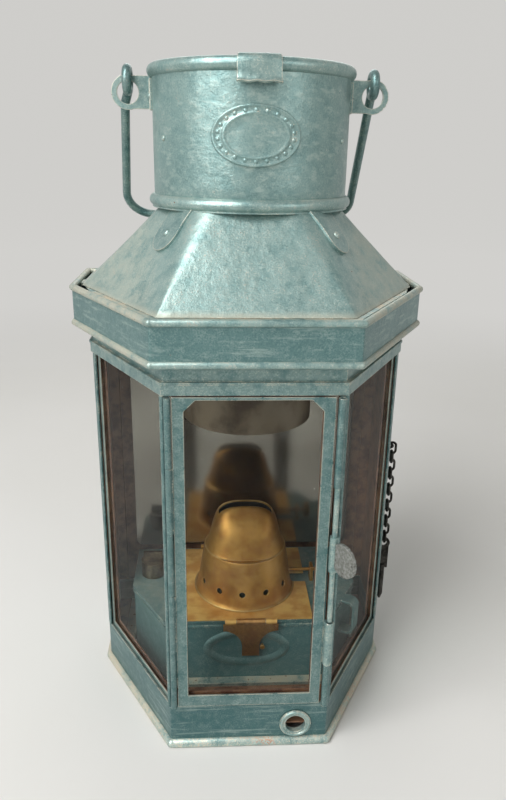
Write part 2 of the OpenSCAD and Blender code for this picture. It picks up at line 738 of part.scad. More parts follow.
thumb_z = latch_collar_z + latch_collar_h / 2;
thumb_out = thumb_d / 2 - 1;
module thumb_disc() color(steel) translate([latch_x, latch_y, thumb_z]) rotate([0, 0, -60]) difference() {
    translate([thumb_out, 0, 0]) rotate([90, 0, 0]) cylinder(d = thumb_d, h = thumb_t, center = true);
    cylinder(d = latch_collar_d + 2 * seam_gap, h = thumb_d * 2, center = true);
}

// The back flap with its hinge, and the reflector that it carries.

flap_y = case_back + rest_gap;
flap_axis_y = case_back + 3;
flap_axis_z = frieze_z - 3;
flap_top = flap_axis_z - 2.5;
flap_pin_d = 2;
flap_knuckle_d = 4.4;
flap_knuckles_n = 5;
flap_knuckle_l = 2 * flap_half / flap_knuckles_n;
flap_bead_d = 3;
spacer_d = 6;

module flap_tube(i) translate([-flap_half + i * flap_knuckle_l + rest_gap / 2, flap_axis_y, flap_axis_z])
    rotate([0, 90, 0]) difference() {
        cylinder(d = flap_knuckle_d, h = flap_knuckle_l - rest_gap);
        translate([0, 0, -1]) cylinder(d = flap_pin_d + 2 * run_gap, h = flap_knuckle_l + 2);
    }

module flap_hinge_tubes() color(paint) for (i = [0 : 2 : flap_knuckles_n - 1]) {
    flap_tube(i);
    leaf_y = case_back + frieze_out + seam_gap;
    leaf_z = flap_axis_z + flap_pin_d / 2 + 0.5;
    translate([-flap_half + i * flap_knuckle_l + rest_gap, leaf_y, leaf_z])
        cube([flap_knuckle_l - 2 * rest_gap, sheet_t, frieze_z + frieze_band_h - ridge_h - rest_gap - leaf_z]);
}

module flap_hinge_pin() color(steel) translate([-flap_half, flap_axis_y, flap_axis_z]) rotate([0, 90, 0])
    cylinder(d = flap_pin_d, h = 2 * flap_half);

module flap_knuckles() color(paint) for (i = [1 : 2 : flap_knuckles_n - 1]) {
    flap_tube(i);
    translate([-flap_half + i * flap_knuckle_l + rest_gap, flap_y + sheet_t + seam_gap, flap_axis_z - 16])
        cube([flap_knuckle_l - 2 * rest_gap, sheet_t, 16 - flap_pin_d / 2 - 0.4]);
}

ear_x = case_r + 5;
ear_y = case_back - 3.5;
ear_z = 140;
ear_hole_d = 4.8;
ear_lift = 0.8;

// A flat ear with an upright hole, from y0 to y1
module ear(z, y0, y1) difference() {
    translate([case_r + rest_gap + 0.1, y0, z]) cube([9, y1 - y0, 1.2]);
    translate([ear_x, ear_y, z - 1]) cylinder(d = ear_hole_d, h = 4);
}

module back_flap() color(paint) {
    translate([-flap_half, flap_y, flap_z + flap_bead_d / 2])
        cube([2 * flap_half, sheet_t, flap_top - flap_z - flap_bead_d / 2]);
    rod([-flap_half, flap_y + flap_bead_d / 2, flap_z + flap_bead_d / 2],
        [flap_half, flap_y + flap_bead_d / 2, flap_z + flap_bead_d / 2], flap_bead_d);
    for (x = [-1, 1], z = [0.4, 0.88])
        translate([x * reflector_half * 0.8, flap_y + 0.2, flap_axis_z * z]) rotate([90, 0, 0])
            cylinder(d = spacer_d, h = flap_y + 0.2 - reflector_y - reflector_t - seam_gap);
    translate([flap_half - 6, flap_y, ear_z]) cube([case_r - flap_half + 15, sheet_t, 6]);
    ear(ear_z + 1.2 + ear_lift, ear_y - 3.5, flap_y + sheet_t);
}

module peg_ear() color(paint) {
    ear(ear_z, ear_y - 3.5, case_back - seam_gap);
    translate([case_r + seam_gap, ear_y - 3.5, ear_z - 8]) cube([rest_gap + 0.9, case_back - ear_y + 3.4, 8.5]);
}

reflector_z0 = tank_top + 3;
module reflector() color(steel) translate([-reflector_half, reflector_y, reflector_z0])
    cube([2 * reflector_half, reflector_t, frieze_z - 10 - reflector_z0]);

// The oil tank and what is fixed to it.

function tank_outline(off) =
    let (f = tank_front + off, w = tank_half + off / cos(30), fx = w - f / tan(60), b = tank_back + off)
    [[-fx, -f], [fx, -f], [w, 0], [w, b], [-w, b], [-w, 0]];
neck_x = -tank_half + 12;
neck_y = 14;
neck_d = 12;
wick_tube_t = 0.8;
wick_play = 0.4;
tube_w = wick_w + 2 * wick_play + 2 * wick_tube_t;
tube_d = wick_t + 2 * wick_play + 2 * wick_tube_t;

module tank_band(off, z0, z1) translate([0, 0, z0]) linear_extrude(z1 - z0) polygon(tank_outline(off));
module oil_tank() color(tank_green) difference() {
    union() {
        tank_band(0, tank_z, tank_top);
        difference() {
            union() {
                tank_band(tank_flange, tank_top - 1.5, tank_top);
                tank_band(tank_flange, tank_top - 5, tank_top - 3.5);
            }
            translate([-2 * tank_half, tank_back, 0]) cube([4 * tank_half, 10, 2 * tank_top]);
        }
        translate([0, -tank_front + 1, tank_z + tank_h * 0.54]) rotate([90, 0, 0]) linear_extrude(1.8)
            difference() {
                polygon(oval(boss_w, boss_h));
                polygon(oval(boss_w - 4, boss_h - 4));
            }
    }
    tank_band(-tank_t, tank_z + tank_t, tank_top - tank_t);
    translate([neck_x, neck_y, tank_top - 2 * tank_t]) cylinder(d = neck_d - 2 * tank_t, h = 4 * tank_t);
    translate([-wick_w / 2 - wick_play, -wick_t / 2 - wick_play, tank_top - 2 * tank_t])
        cube([wick_w + 2 * wick_play, wick_t + 2 * wick_play, 4 * tank_t]);
}

handle_t = 1.5;
handle_r = 5;
handle_shift = 2.5;
handle_u = handle_shift + (tank_half / 2 + (tank_half - tank_front / tan(60)) / 2 - tank_front * cos(30)) / 2;
tank_face = tank_half * cos(30);
handle_z = tank_z + tank_h * 0.47;
module tank_handle() color(tank_green) difference() {
    rotate([0, 0, 60]) translate([handle_u - handle_w / 2, -tank_face - seam_gap, handle_z])
        rotate([90, 0, 90]) linear_extrude(handle_w) difference() {
            handle_shape(handle_out, handle_h, 0);
            handle_shape(handle_out, handle_h, handle_t);
        }
    tank_band(tank_flange + seam_gap, tank_top - 5 - seam_gap, handle_z + handle_h + 1);
}
// The handle's side view, drawn outward along -X and cut off at the tank
module handle_shape(out, h, in) intersection() {
    union() {
        translate([-out + in, handle_r]) square([out + handle_r, h - 2 * handle_r]);
        translate([-out + handle_r, in]) square([out + handle_r, h - 2 * in]);
        for (y = [handle_r, h - handle_r]) translate([-out + handle_r, y]) circle(r = handle_r - in);
    }
    translate([-2 * out, -h]) square([2 * out + (in > 0 ? 1 : 0), 3 * h]);
}

module filler_neck() color(tank_green) translate([neck_x, neck_y, 0])
    tube(neck_d, neck_d - 2 * tank_t, tank_top, tank_top + 8);

module filler_cap() color(brass) translate([neck_x, neck_y, tank_top + 0.5]) {
    difference() {
        cylinder(d = filler_d, h = 11);
        translate([0, 0, -1]) cylinder(d = neck_d + 2 * rest_gap, h = 1 + 7.5 + rest_gap);
    }
    translate([-filler_d * 0.4, -1.2, 10.5]) cube([filler_d * 0.8, 2.4, 6.5]);
}

plate_z = tank_top + rest_gap;
spindle_y = 5;
spindle_z = plate_z + plate_t + 6.2;
wick_tube_top = spindle_z + 33;
wheel_d = 6.2;
wheel_x = 6;
bracket_x = plate_half + 3.5;
spindle_end = plate_half + 13;

module wick_tube() color(brass) {
    difference() {
        union() {
            translate([-tube_w / 2, -tube_d / 2, tank_top]) cube([tube_w, tube_d, wick_tube_top - tank_top]);
            mirrored() translate([tube_w / 2 - 2.5, 0, spindle_z - 6]) cube([1.5, spindle_y + 3, 9]);
            translate([bracket_x, spindle_y - 3.5, tank_top]) cube([2, 7, spindle_z + 3.5 - tank_top]);
        }
        translate([-wick_w / 2 - wick_play, -wick_t / 2 - wick_play, tank_top - 1])
            cube([wick_w + 2 * wick_play, wick_t + 2 * wick_play, wick_tube_top]);
        translate([-tube_w, spindle_y, spindle_z]) rotate([0, 90, 0])
            cylinder(d = spindle_d + 2 * run_gap, h = 3 * tube_w);
        mirrored() translate([wheel_x - 1.6, 0, spindle_z - 4]) cube([3.2, tube_d, 8]);
    }
}

module winder_spindle() color(brass) {
    translate([-tube_w / 2, spindle_y, spindle_z]) rotate([0, 90, 0])
        cylinder(d = spindle_d, h = spindle_end + tube_w / 2);
    for (x = [-wheel_x, wheel_x]) translate([x - 0.8, spindle_y, spindle_z]) rotate([0, 90, 0]) difference() {
        cylinder(d = wheel_d, h = 1.6);
        for (a = [0 : 45 : 315]) rotate([0, 0, a]) translate([wheel_d / 2, 0, -1]) cylinder(d = 1.2, h = 4);
    }
}

module winder_knob() color(brass) translate([spindle_end - 3, spindle_y, spindle_z]) rotate([0, 90, 0]) difference() {
    cylinder(d = winder_knob_d, h = 4);
    translate([0, 0, -1]) cylinder(d = spindle_d + 2 * seam_gap, h = 6);
    for (a = [0 : 30 : 330]) rotate([0, 0, a]) translate([winder_knob_d / 2 + 0.6, 0, -1]) cylinder(d = 2.4, h = 6);
}

module wick() color([0.85, 0.82, 0.74])
    translate([-wick_w / 2, -wick_t / 2, tank_z + 8]) cube([wick_w, wick_t, wick_tube_top + 4 - tank_z - 8]);

// The burner plate lifts about a hinge along its rear edge.

plate_front = tank_front + 0.9;
plate_rear = tank_back - 2.8;
plate_axis_y = tank_back - 0.6;
plate_axis_z = tank_top + 1.9;
plate_knuckle_d = 3.2;
plate_pin_d = 1.6;
plate_knuckle_l = 24;

module plate_hinge() color(brass) {
    mirrored() translate([plate_knuckle_l / 2 + rest_gap, 0, 0]) {
        translate([0, plate_axis_y, plate_axis_z]) rotate([0, 90, 0]) cylinder(d = plate_knuckle_d, h = 18);
        translate([0, plate_axis_y - 1, tank_top]) cube([18, 1.4, plate_axis_z - tank_top]);
    }
    translate([-20, plate_axis_y, plate_axis_z]) rotate([0, 90, 0]) cylinder(d = plate_pin_d, h = 40);
}

hasp_x = 2.5;
hasp_y = -plate_front - 1.9;
hasp_z = plate_z + plate_t / 2;
hasp_knuckle_d = 3.6;
hasp_pin_d = 1.6;
hasp_barrel = hasp_w * 0.52;
hasp_ear = 7;
notch_half = 5.5;

// What the spindle passes through when the plate is lifted
module spindle_notch() translate([cone_r - 11.5, spindle_y - notch_half, plate_z - 1])
    cube([plate_half, 2 * notch_half, spindle_z + notch_half - plate_z + 1]);

module burner_plate() color(brass) difference() {
    union() {
        translate([-plate_half, -plate_front, plate_z]) cube([2 * plate_half, plate_front + plate_rear, plate_t]);
        translate([-plate_knuckle_l / 2, plate_axis_y, plate_axis_z]) rotate([0, 90, 0])
            cylinder(d = plate_knuckle_d, h = plate_knuckle_l);
        translate([-plate_knuckle_l / 2, plate_rear - 0.5, plate_z])
            cube([plate_knuckle_l, plate_axis_y - plate_rear + 0.5, plate_t]);
        for (x = [hasp_x - hasp_barrel / 2 - rest_gap - hasp_ear, hasp_x + hasp_barrel / 2 + rest_gap]) {
            translate([x, hasp_y, hasp_z]) rotate([0, 90, 0]) cylinder(d = hasp_knuckle_d, h = hasp_ear);
            translate([x, hasp_y, plate_z]) cube([hasp_ear, -hasp_y - plate_front + 0.5, plate_t]);
        }
    }
    translate([0, 0, plate_z - 1]) cylinder(r = cone_r - 3.5, h = plate_t + 2);
    translate([-plate_knuckle_l, plate_axis_y, plate_axis_z]) rotate([0, 90, 0])
        cylinder(d = plate_pin_d + 2 * run_gap, h = 2 * plate_knuckle_l);
    translate([-plate_half, hasp_y, hasp_z]) rotate([0, 90, 0])
        cylinder(d = hasp_pin_d + 2 * run_gap, h = 2 * plate_half);
    spindle_notch();
}

cone_z = plate_z + plate_t + seam_gap;
seam_z = cone_z + cone_h;
seam_r = cone_r - 4.5;

// The cone's outline from its flange up to the seam: radius and height
function cone_side(in) = [[cone_r - in, 0], [cone_r - 0.5 - in, 5], [cone_r - 1.9 - in, 17],
    [cone_r - 3.8 - in, 27], [seam_r - in, cone_h]];

module burner_cone() color(brass) difference() {
    translate([0, 0, cone_z]) rotate_extrude() {
        polygon(concat(cone_side(0), [for (i = [4 : -1 : 0]) cone_side(cone_t)[i]]));
        translate([cone_r - cone_t, 0]) square([2.5 + cone_t, cone_t]);
    }
    for (i = [0 : cone_holes - 1]) rotate([0, 0, 360 * i / cone_holes - 5]) translate([20, 0, cone_z + 10])
        rotate([0, 90, 0]) cylinder(d = cone_hole_d, h = 20);
    spindle_notch();
}

// The flame cap: a dome that narrows upward, with flat facets front and back
module cap_form(in) intersection() {
    translate([0, 0, seam_z + seam_gap]) rotate_extrude() intersection() {
        union() {
            polygon([[0, 0], [seam_r - 0.8 - in, 0], [seam_r - 4.3 - in, cap_h * 0.3],
                [seam_r - 7.4 - in, cap_h * 0.69], [0, cap_h * 0.69]]);
            translate([0, cap_h - 24 - in]) intersection() {
                circle(r = 24, $fn = 96);
                translate([0, cap_h * 0.69 - cap_h + 24 + in - 0.01]) square([seam_r - 7.4 - in, 24]);
            }
        }
        translate([0, in > 0 ? -1 : 0]) square([seam_r, cap_h - in + 1]);
    }
    rotate([90, 0, 90]) linear_extrude(4 * seam_r, center = true)
        polygon([[-seam_r + 4.9 + in, seam_z - 1], [seam_r - 4.9 - in, seam_z - 1],
            [seam_r - 17.5 - in, seam_z + cap_h + 1], [-seam_r + 17.5 + in, seam_z + cap_h + 1]]);
}
module flame_cap() color(brass) difference() {
    cap_form(0);
    translate([0, 0, -0.02]) cap_form(cone_t);
    translate([-slot_l / 2, -slot_w / 2, seam_z + cap_h * 0.74]) cube([slot_l, slot_w, cap_h]);
}

hasp_leaf_t = 0.8;
hasp_leaf_y = hasp_y - hasp_leaf_t / 2;

module hasp_pin() color(steel) translate([hasp_x - hasp_barrel / 2 - rest_gap - hasp_ear, hasp_y, hasp_z])
    rotate([0, 90, 0]) cylinder(d = hasp_pin_d, h = hasp_barrel + 2 * rest_gap + 2 * hasp_ear);

module hasp_leaf() color(brass) difference() {
    union() {
        translate([hasp_x - hasp_barrel / 2, hasp_y, hasp_z]) rotate([0, 90, 0])
            cylinder(d = hasp_knuckle_d, h = hasp_barrel);
        translate([hasp_x - hasp_barrel / 2, hasp_leaf_y, hasp_z - 3]) cube([hasp_barrel, hasp_leaf_t, 3]);
        hasp_outline();
    }
    translate([-plate_half, hasp_y, hasp_z]) rotate([0, 90, 0])
        cylinder(d = hasp_pin_d + 2 * run_gap, h = 2 * plate_half);
}
// Shoulders that sweep in to a narrow tip
module hasp_outline() {
    sweep = (hasp_w - hasp_tip_w) / 2;
    translate([hasp_x, hasp_leaf_y + hasp_leaf_t, hasp_z - hasp_l]) rotate([90, 0, 0]) linear_extrude(hasp_leaf_t)
        difference() {
            translate([-hasp_w / 2, 0]) square([hasp_w, hasp_l - hasp_knuckle_d / 2 - 0.4]);
            for (side = [-1, 1]) {
                translate([side * (hasp_tip_w / 2 + sweep), hasp_l - 7 - sweep]) circle(r = sweep);
                translate([side * (hasp_tip_w / 2 + sweep) - sweep, -1]) square([2 * sweep, hasp_l - 6 - sweep]);
            }
        }
}

module hasp_stud() color(brass)
    translate([hasp_x + hasp_tip_w / 2 + 2, -tank_front - seam_gap - 1, hasp_z - hasp_l + 6]) rotate([90, 0, 0]) {
        translate([0, 0, -1]) cylinder(d = 2, h = 2.4);
        translate([0, 0, 1]) cylinder(d = 3, h = 0.8);
    }

// The chain and the locking peg at its end.

staple_r = 4;
staple_d = 1.8;
chain_x = case_r + staple_r + 0.6;
link_end = (link_in + chain_d) / 2;
link_hang = 2;
first_link_z = staple_z + link_hang - link_end;
link_gap = 0.3;

module chain_staple() color(steel) translate([case_r, staple_y, staple_z]) {
    translate([chain_x - case_r - staple_r, 0, 0]) rotate([0, 0, -90]) wire_ring(staple_r, staple_d, 180);
    for (y = [-staple_r, staple_r]) translate([0, y, 0]) rotate([0, 90, 0])
        cylinder(d = 3.2, h = chain_x - case_r - staple_r);
}

module link() {
    r = (link_w + chain_d) / 2;
    flat = link_end - r;
    for (s = [-1, 1]) translate([s * r, 0, -flat]) cylinder(d = chain_d, h = 2 * flat);
    translate([0, 0, flat]) rotate([90, 0, 0]) wire_ring(r, chain_d, 180);
    translate([0, 0, -flat]) rotate([-90, 0, 0]) wire_ring(r, chain_d, 180);
}

module chain() color(steel) for (i = [0 : link_count - 1])
    translate([chain_x, staple_y, first_link_z - i * (link_in - link_gap)]) rotate([0, 0, 90 * (i % 2)]) link();

last_link_z = first_link_z - (link_count - 1) * (link_in - link_gap) - link_end;
peg_eye_r = 2.2;
peg_rim = 2;
peg_eye_z = last_link_z + chain_d / 2 + link_gap - peg_eye_r;
peg_head_w = 7.2;
peg_head_l = peg_l * 0.42;

module locking_peg() color(steel) translate([chain_x, staple_y, peg_eye_z]) {
    difference() {
        rotate([90, 0, 0]) linear_extrude(1.4, center = true) {
            circle(r = peg_eye_r + peg_rim);
            translate([-peg_head_w / 2, -peg_head_l]) square([peg_head_w, peg_head_l]);
        }
        rotate([90, 0, 0]) cylinder(r = peg_eye_r, h = 4, center = true);
    }
    translate([0, 0, -peg_l + 6]) cylinder(d = 4, h = peg_l - 6 - peg_head_l + 3);
    translate([0, 0, -peg_l + 2]) cylinder(d1 = 1.6, d2 = 4, h = 4);
}

base_skirt();
base_floor();
air_eyelet();
tank_guides();
corner_posts();
side_panel_left();
side_panel_right();
window_frame_left();
window_frame_right();
window_pane_left();
window_pane_right();
frieze();
crown_plate();
inner_chimney();
gallery_band();
gallery_lugs();
roof();
roof_straps();
chimney_drum();
oval_plate();
rim_clip();
rain_baffle();
bail_lugs();
bail();
door_hinge_tubes();
door_hinge_pin();
door_frame();
door_pane();
door_knuckles();
latch_guides();
latch_knuckle();
latch_rod();
latch_collar();
thumb_disc();
flap_hinge_tubes();
flap_hinge_pin();
back_flap();
flap_knuckles();
reflector();
peg_ear();
oil_tank();
tank_handle();
filler_neck();
filler_cap();
wick_tube();
wick();
winder_spindle();
winder_knob();
plate_hinge();
burner_plate();
burner_cone();
flame_cap();
hasp_stud();
hasp_pin();
hasp_leaf();
chain_staple();
chain();
locking_peg();
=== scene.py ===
"""Looks of the railway cabin lantern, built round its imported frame.

The scene, its lamps and the grain of its finishes are in metres. The sizes of pieces are in
millimetres, as in the solids, and become metres where a mesh is made.
"""

from math import acos, asin, atan2, cos, hypot, pi, radians, sin, sqrt, tan

import bmesh
import bpy
from mathutils import Matrix, Vector, geometry, noise


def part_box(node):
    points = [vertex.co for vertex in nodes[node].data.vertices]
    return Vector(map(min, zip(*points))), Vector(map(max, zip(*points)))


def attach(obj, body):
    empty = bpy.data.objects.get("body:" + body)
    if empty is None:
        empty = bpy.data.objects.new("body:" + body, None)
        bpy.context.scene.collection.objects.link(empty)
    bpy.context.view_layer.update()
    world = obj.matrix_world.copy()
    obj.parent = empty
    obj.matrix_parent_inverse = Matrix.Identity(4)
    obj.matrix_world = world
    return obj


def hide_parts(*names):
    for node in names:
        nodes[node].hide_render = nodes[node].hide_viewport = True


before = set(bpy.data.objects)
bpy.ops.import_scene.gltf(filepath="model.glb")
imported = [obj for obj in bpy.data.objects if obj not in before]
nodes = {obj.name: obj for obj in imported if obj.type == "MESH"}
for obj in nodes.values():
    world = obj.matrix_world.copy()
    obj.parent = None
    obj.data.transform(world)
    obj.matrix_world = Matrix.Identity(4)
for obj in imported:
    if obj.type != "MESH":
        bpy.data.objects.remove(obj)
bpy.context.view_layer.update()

scene = bpy.context.scene
MM = 0.001


# The photographer's view: eye a little above the roof, half a metre off, tipped down at the door.
# The lens is worked out from the picture's field of view, and the roll is the tilt of the hand.
EYE = (-21.46 * MM, -416.67 * MM, 342.61 * MM)
YAW, PITCH, ROLL = radians(3.472), radians(19.658), radians(1.014)
FOCAL_PX, PICTURE_H = 709.04, 800


def add(name, data):
    """A new object in the scene."""
    made = bpy.data.objects.new(name, data)
    scene.collection.objects.link(made)
    return made


eye = add("eye", bpy.data.cameras.new("eye"))
eye.data.sensor_width = 36
eye.data.lens = FOCAL_PX / PICTURE_H * eye.data.sensor_width
eye.data.clip_start = 0.01
eye.matrix_world = (Matrix.Translation(EYE) @ Matrix.Rotation(-YAW, 4, "Z")
                    @ Matrix.Rotation(pi / 2 - PITCH, 4, "X") @ Matrix.Rotation(ROLL, 4, "Z"))
scene.camera = eye
scene.view_settings.view_transform = "Standard"


# The studio: a pale floor that sweeps up all round into a pale wall. A broad lamp stands over the
# left shoulder with a smaller one above it, a weak one on the right and one behind for the edges.
class Wire:
    """A shader socket that can be used in arithmetic."""

    def __init__(self, tree, socket):
        self.tree, self.socket = tree, socket

    def math(self, operation, other=None, reverse=False):
        new = self.tree.nodes.new("ShaderNodeMath")
        new.operation = operation
        for at, value in enumerate((other, self) if reverse else (self, other)):
            if isinstance(value, Wire):
                self.tree.links.new(value.socket, new.inputs[at])
            elif value is not None:
                new.inputs[at].default_value = value
        return Wire(self.tree, new.outputs[0])

    def __add__(self, other):
        return self.math("ADD", other)

    def __sub__(self, other):
        return self.math("SUBTRACT", other)

    def __rsub__(self, other):
        return self.math("SUBTRACT", other, reverse=True)

    def __mul__(self, other):
        return self.math("MULTIPLY", other)

    def __abs__(self):
        return self.math("ABSOLUTE")

    __radd__ = __add__
    __rmul__ = __mul__

    def either(self, other):
        return self.math("MAXIMUM", other)

    def step(self, low, high):
        """0 below low, 1 above high and a smooth rise between them; falls where high is less."""
        new = self.tree.nodes.new("ShaderNodeMapRange")
        new.interpolation_type = "SMOOTHSTEP"
        self.tree.links.new(self.socket, new.inputs["Value"])
        rises = high > low
        new.inputs["From Min"].default_value = low if rises else high
        new.inputs["From Max"].default_value = high if rises else low
        new.inputs["To Min"].default_value = 0 if rises else 1
        new.inputs["To Max"].default_value = 1 if rises else 0
        return Wire(self.tree, new.outputs["Result"])


def srgb(red, green, blue):
    """A colour given 0 to 255, as the renderer's linear one."""
    shares = [v / 255 for v in (red, green, blue)]
    return tuple(v / 12.92 if v <= 0.04045 else ((v + 0.055) / 1.055) ** 2.4
                 for v in shares) + (1.0,)


class Finish:
    """A material with its Principled shader, and the means to wire it."""

    def __init__(self, name):
        self.material = bpy.data.materials.new(name)
        self.material.use_nodes = True
        self.tree = self.material.node_tree
        self.shader = self.tree.nodes["Principled BSDF"]

    def node(self, kind, settings=None, inputs=None, output=0):
        new = self.tree.nodes.new("ShaderNode" + kind)
        for name, value in (settings or {}).items():
            setattr(new, name, value)
        for name, value in (inputs or {}).items():
            self.feed(new.inputs[name], value)
        return Wire(self.tree, new.outputs[output])

    def feed(self, socket, value):
        if isinstance(value, Wire):
            self.tree.links.new(value.socket, socket)
        else:
            socket.default_value = value

    def set(self, **sockets):
        for name, value in sockets.items():
            self.feed(self.shader.inputs[name.replace("_", " ")], value)

    def place(self):
        return self.node("TexCoord", output="Object")

    def vector(self, operation, *inputs, output=0):
        return self.node("VectorMath", {"operation": operation}, dict(enumerate(inputs)), output)

    def along(self, direction):
        """How far a point lies along a direction, in metres."""
        return self.vector("DOT_PRODUCT", self.place(), direction, output="Value")

    def noise(self, size, detail=3, rough=0.55, stretch=None):
        """Cloudy noise whose lumps are about size metres across."""
        where = self.place()
        if stretch:
            where = self.vector("MULTIPLY", where, stretch)
        return self.node("TexNoise", {}, {"Vector": where, "Scale": 1 / size, "Detail": detail,
                                          "Roughness": rough}, "Fac")

    def cells(self, size):
        """Distance from the nearest of many scattered points, size metres apart."""
        return self.node("TexVoronoi", {}, {"Vector": self.place(), "Scale": 1 / size}, "Distance")

    def mix(self, share, first, second):
        return self.node("Mix", {"data_type": "RGBA"}, {0: share, 6: first, 7: second}, output=2)

    def edges(self, radius):
        """How near a fold or cut edge is: 0 on the flat and 1 on the edge itself."""
        rounded_normal = self.node("Bevel", {"samples": 6}, {"Radius": radius})
        face_normal = self.node("NewGeometry", output="True Normal")
        alike = self.vector("DOT_PRODUCT", rounded_normal, face_normal, output="Value")
        return (1 - alike).step(0.01, 0.16)

    def facing_up(self, low=0.5, high=0.95):
        normal = self.node("NewGeometry", output="Normal")
        return self.node("SeparateXYZ", {}, {0: normal}, output="Z").step(low, high)

    def relief(self, height, depth, radius=None):
        """A Bump node for height, in metres of depth, on edges that are rounded by radius."""
        inputs = {"Height": height, "Distance": depth, "Strength": 1.0}
        if radius:
            inputs["Normal"] = self.node("Bevel", {"samples": 6}, {"Radius": radius})
        return self.node("Bump", {}, inputs)


def circle(r, count):
    """Points of a circle round the origin, anticlockwise from the x axis."""
    turns = [2 * pi * i / count for i in range(count)]
    return [(r * cos(a), r * sin(a)) for a in turns]


FLAT_R, BEND_R, WALL_H = 2.2, 1.8, 3.4
BEND_STEPS, SWEEP_SIDES = 24, 96
bends = [pi / 2 * (i + 1) / BEND_STEPS for i in range(BEND_STEPS)]
sweep_line = [(FLAT_R * 0.5, 0), (FLAT_R, 0)]
sweep_line += [(FLAT_R + BEND_R * sin(a), BEND_R * (1 - cos(a))) for a in bends]
sweep_line.append((FLAT_R + BEND_R, WALL_H))
sweep = bmesh.new()
rows = [[sweep.verts.new((x, y, z)) for x, y in circle(r, SWEEP_SIDES)] for r, z in sweep_line]
middle = sweep.verts.new((0, 0, 0))
for i in range(SWEEP_SIDES):
    after = (i + 1) % SWEEP_SIDES
    sweep.faces.new((middle, rows[0][i], rows[0][after]))
    for near, beyond in zip(rows, rows[1:]):
        sweep.faces.new((near[i], beyond[i], beyond[after], near[after]))
for face in sweep.faces:
    face.smooth = True
floor_mesh = bpy.data.meshes.new("floor")
sweep.to_mesh(floor_mesh)
floor = add("floor", floor_mesh)

BLACK = (0, 0, 0, 1)
floor_finish = Finish("floor_paper")
seen_by = [floor_finish.node("LightPath", output=f"Is {ray} Ray")
           for ray in ("Camera", "Glossy", "Transmission")]
far = floor_finish.vector("LENGTH", floor_finish.place(), output="Value").step(0.45, 1.3)
far = far * seen_by[0].either(seen_by[1]).either(seen_by[2])
mottle = floor_finish.noise(0.4, 3)
paper = floor_finish.mix(mottle.step(0.3, 0.7), srgb(212, 211, 207), srgb(216, 215, 212))
floor_finish.set(Base_Color=floor_finish.mix(far, paper, BLACK), Roughness=0.85,
                 Emission_Color=floor_finish.mix(far, BLACK, srgb(206, 205, 202)),
                 Emission_Strength=1.0, Specular_IOR_Level=0.2)
floor_mesh.materials.append(floor_finish.material)

world = bpy.data.worlds.new("surround")
scene.world = world
world.use_nodes = True
background = world.node_tree.nodes["Background"].inputs
background["Color"].default_value = srgb(222, 221, 218)
background["Strength"].default_value = 0.44

# Each lamp's name, place, aim, size and power.
LAMPS = (
    ("key_lamp", (-0.95, -1.0, 1.0), (0, 0, 0.24), 1.1, 20),
    ("top_lamp", (-0.7, -0.65, 1.6), (0, 0, 0.25), 0.8, 15),
    ("fill_lamp", (1.1, -1.2, 0.8), (0, 0, 0.2), 0.8, 3.5),
    ("rim_lamp", (0.1, 1.2, 1.1), (0, 0, 0.25), 0.9, 5),
)
for name, spot, aim, size, power in LAMPS:
    lamp = add(name, bpy.data.lights.new(name, "AREA"))
    lamp.data.size = size
    lamp.data.energy = power
    lamp.location = spot
    lamp.rotation_euler = (Vector(aim) - Vector(spot)).to_track_quat("-Z", "Y").to_euler()


# Base skirt: a strip of tinplate bent round the flat-sided plan, with its lower edge rolled over a
# wire. It is brushed with a thick teal enamel that has metal powder in it, over plate that had
# rusted, and years of being set down have rubbed the roll bare.
COS30 = cos(pi / 6)
CASE_R, CASE_BACK, SHEET = 93.5, 52, 1.0
CASE_F = CASE_R * COS30
SKIRT_H, SKIRT_BEND, FLOOR_Z = 30.5, 1.8, 12
FOOT_BEAD_D, FOOT_BEAD_Z, FOOT_BEAD_OUT = 6, 2.5, -0.3
SKIRT_LEVELS = (SKIRT_H, 22, 14, FOOT_BEAD_Z)
BAY_HALF, BAY_CUT = 79, 3
EYELET_X, EYELET_Z, EYELET_HOLE_D, EYELET_CUT = 27.8, 15.4, 14.1, 20

ENAMEL = srgb(124, 156, 154)
ENAMEL_DEEP = srgb(52, 93, 96)
ENAMEL_LIGHT = srgb(194, 210, 202)
WORN_TIN = srgb(214, 208, 190)
PRIMER = srgb(196, 146, 118)
RUST = srgb(104, 62, 40)
DUST = srgb(184, 172, 150)
OXIDE_DARK, OXIDE = srgb(84, 48, 36), srgb(132, 92, 68)


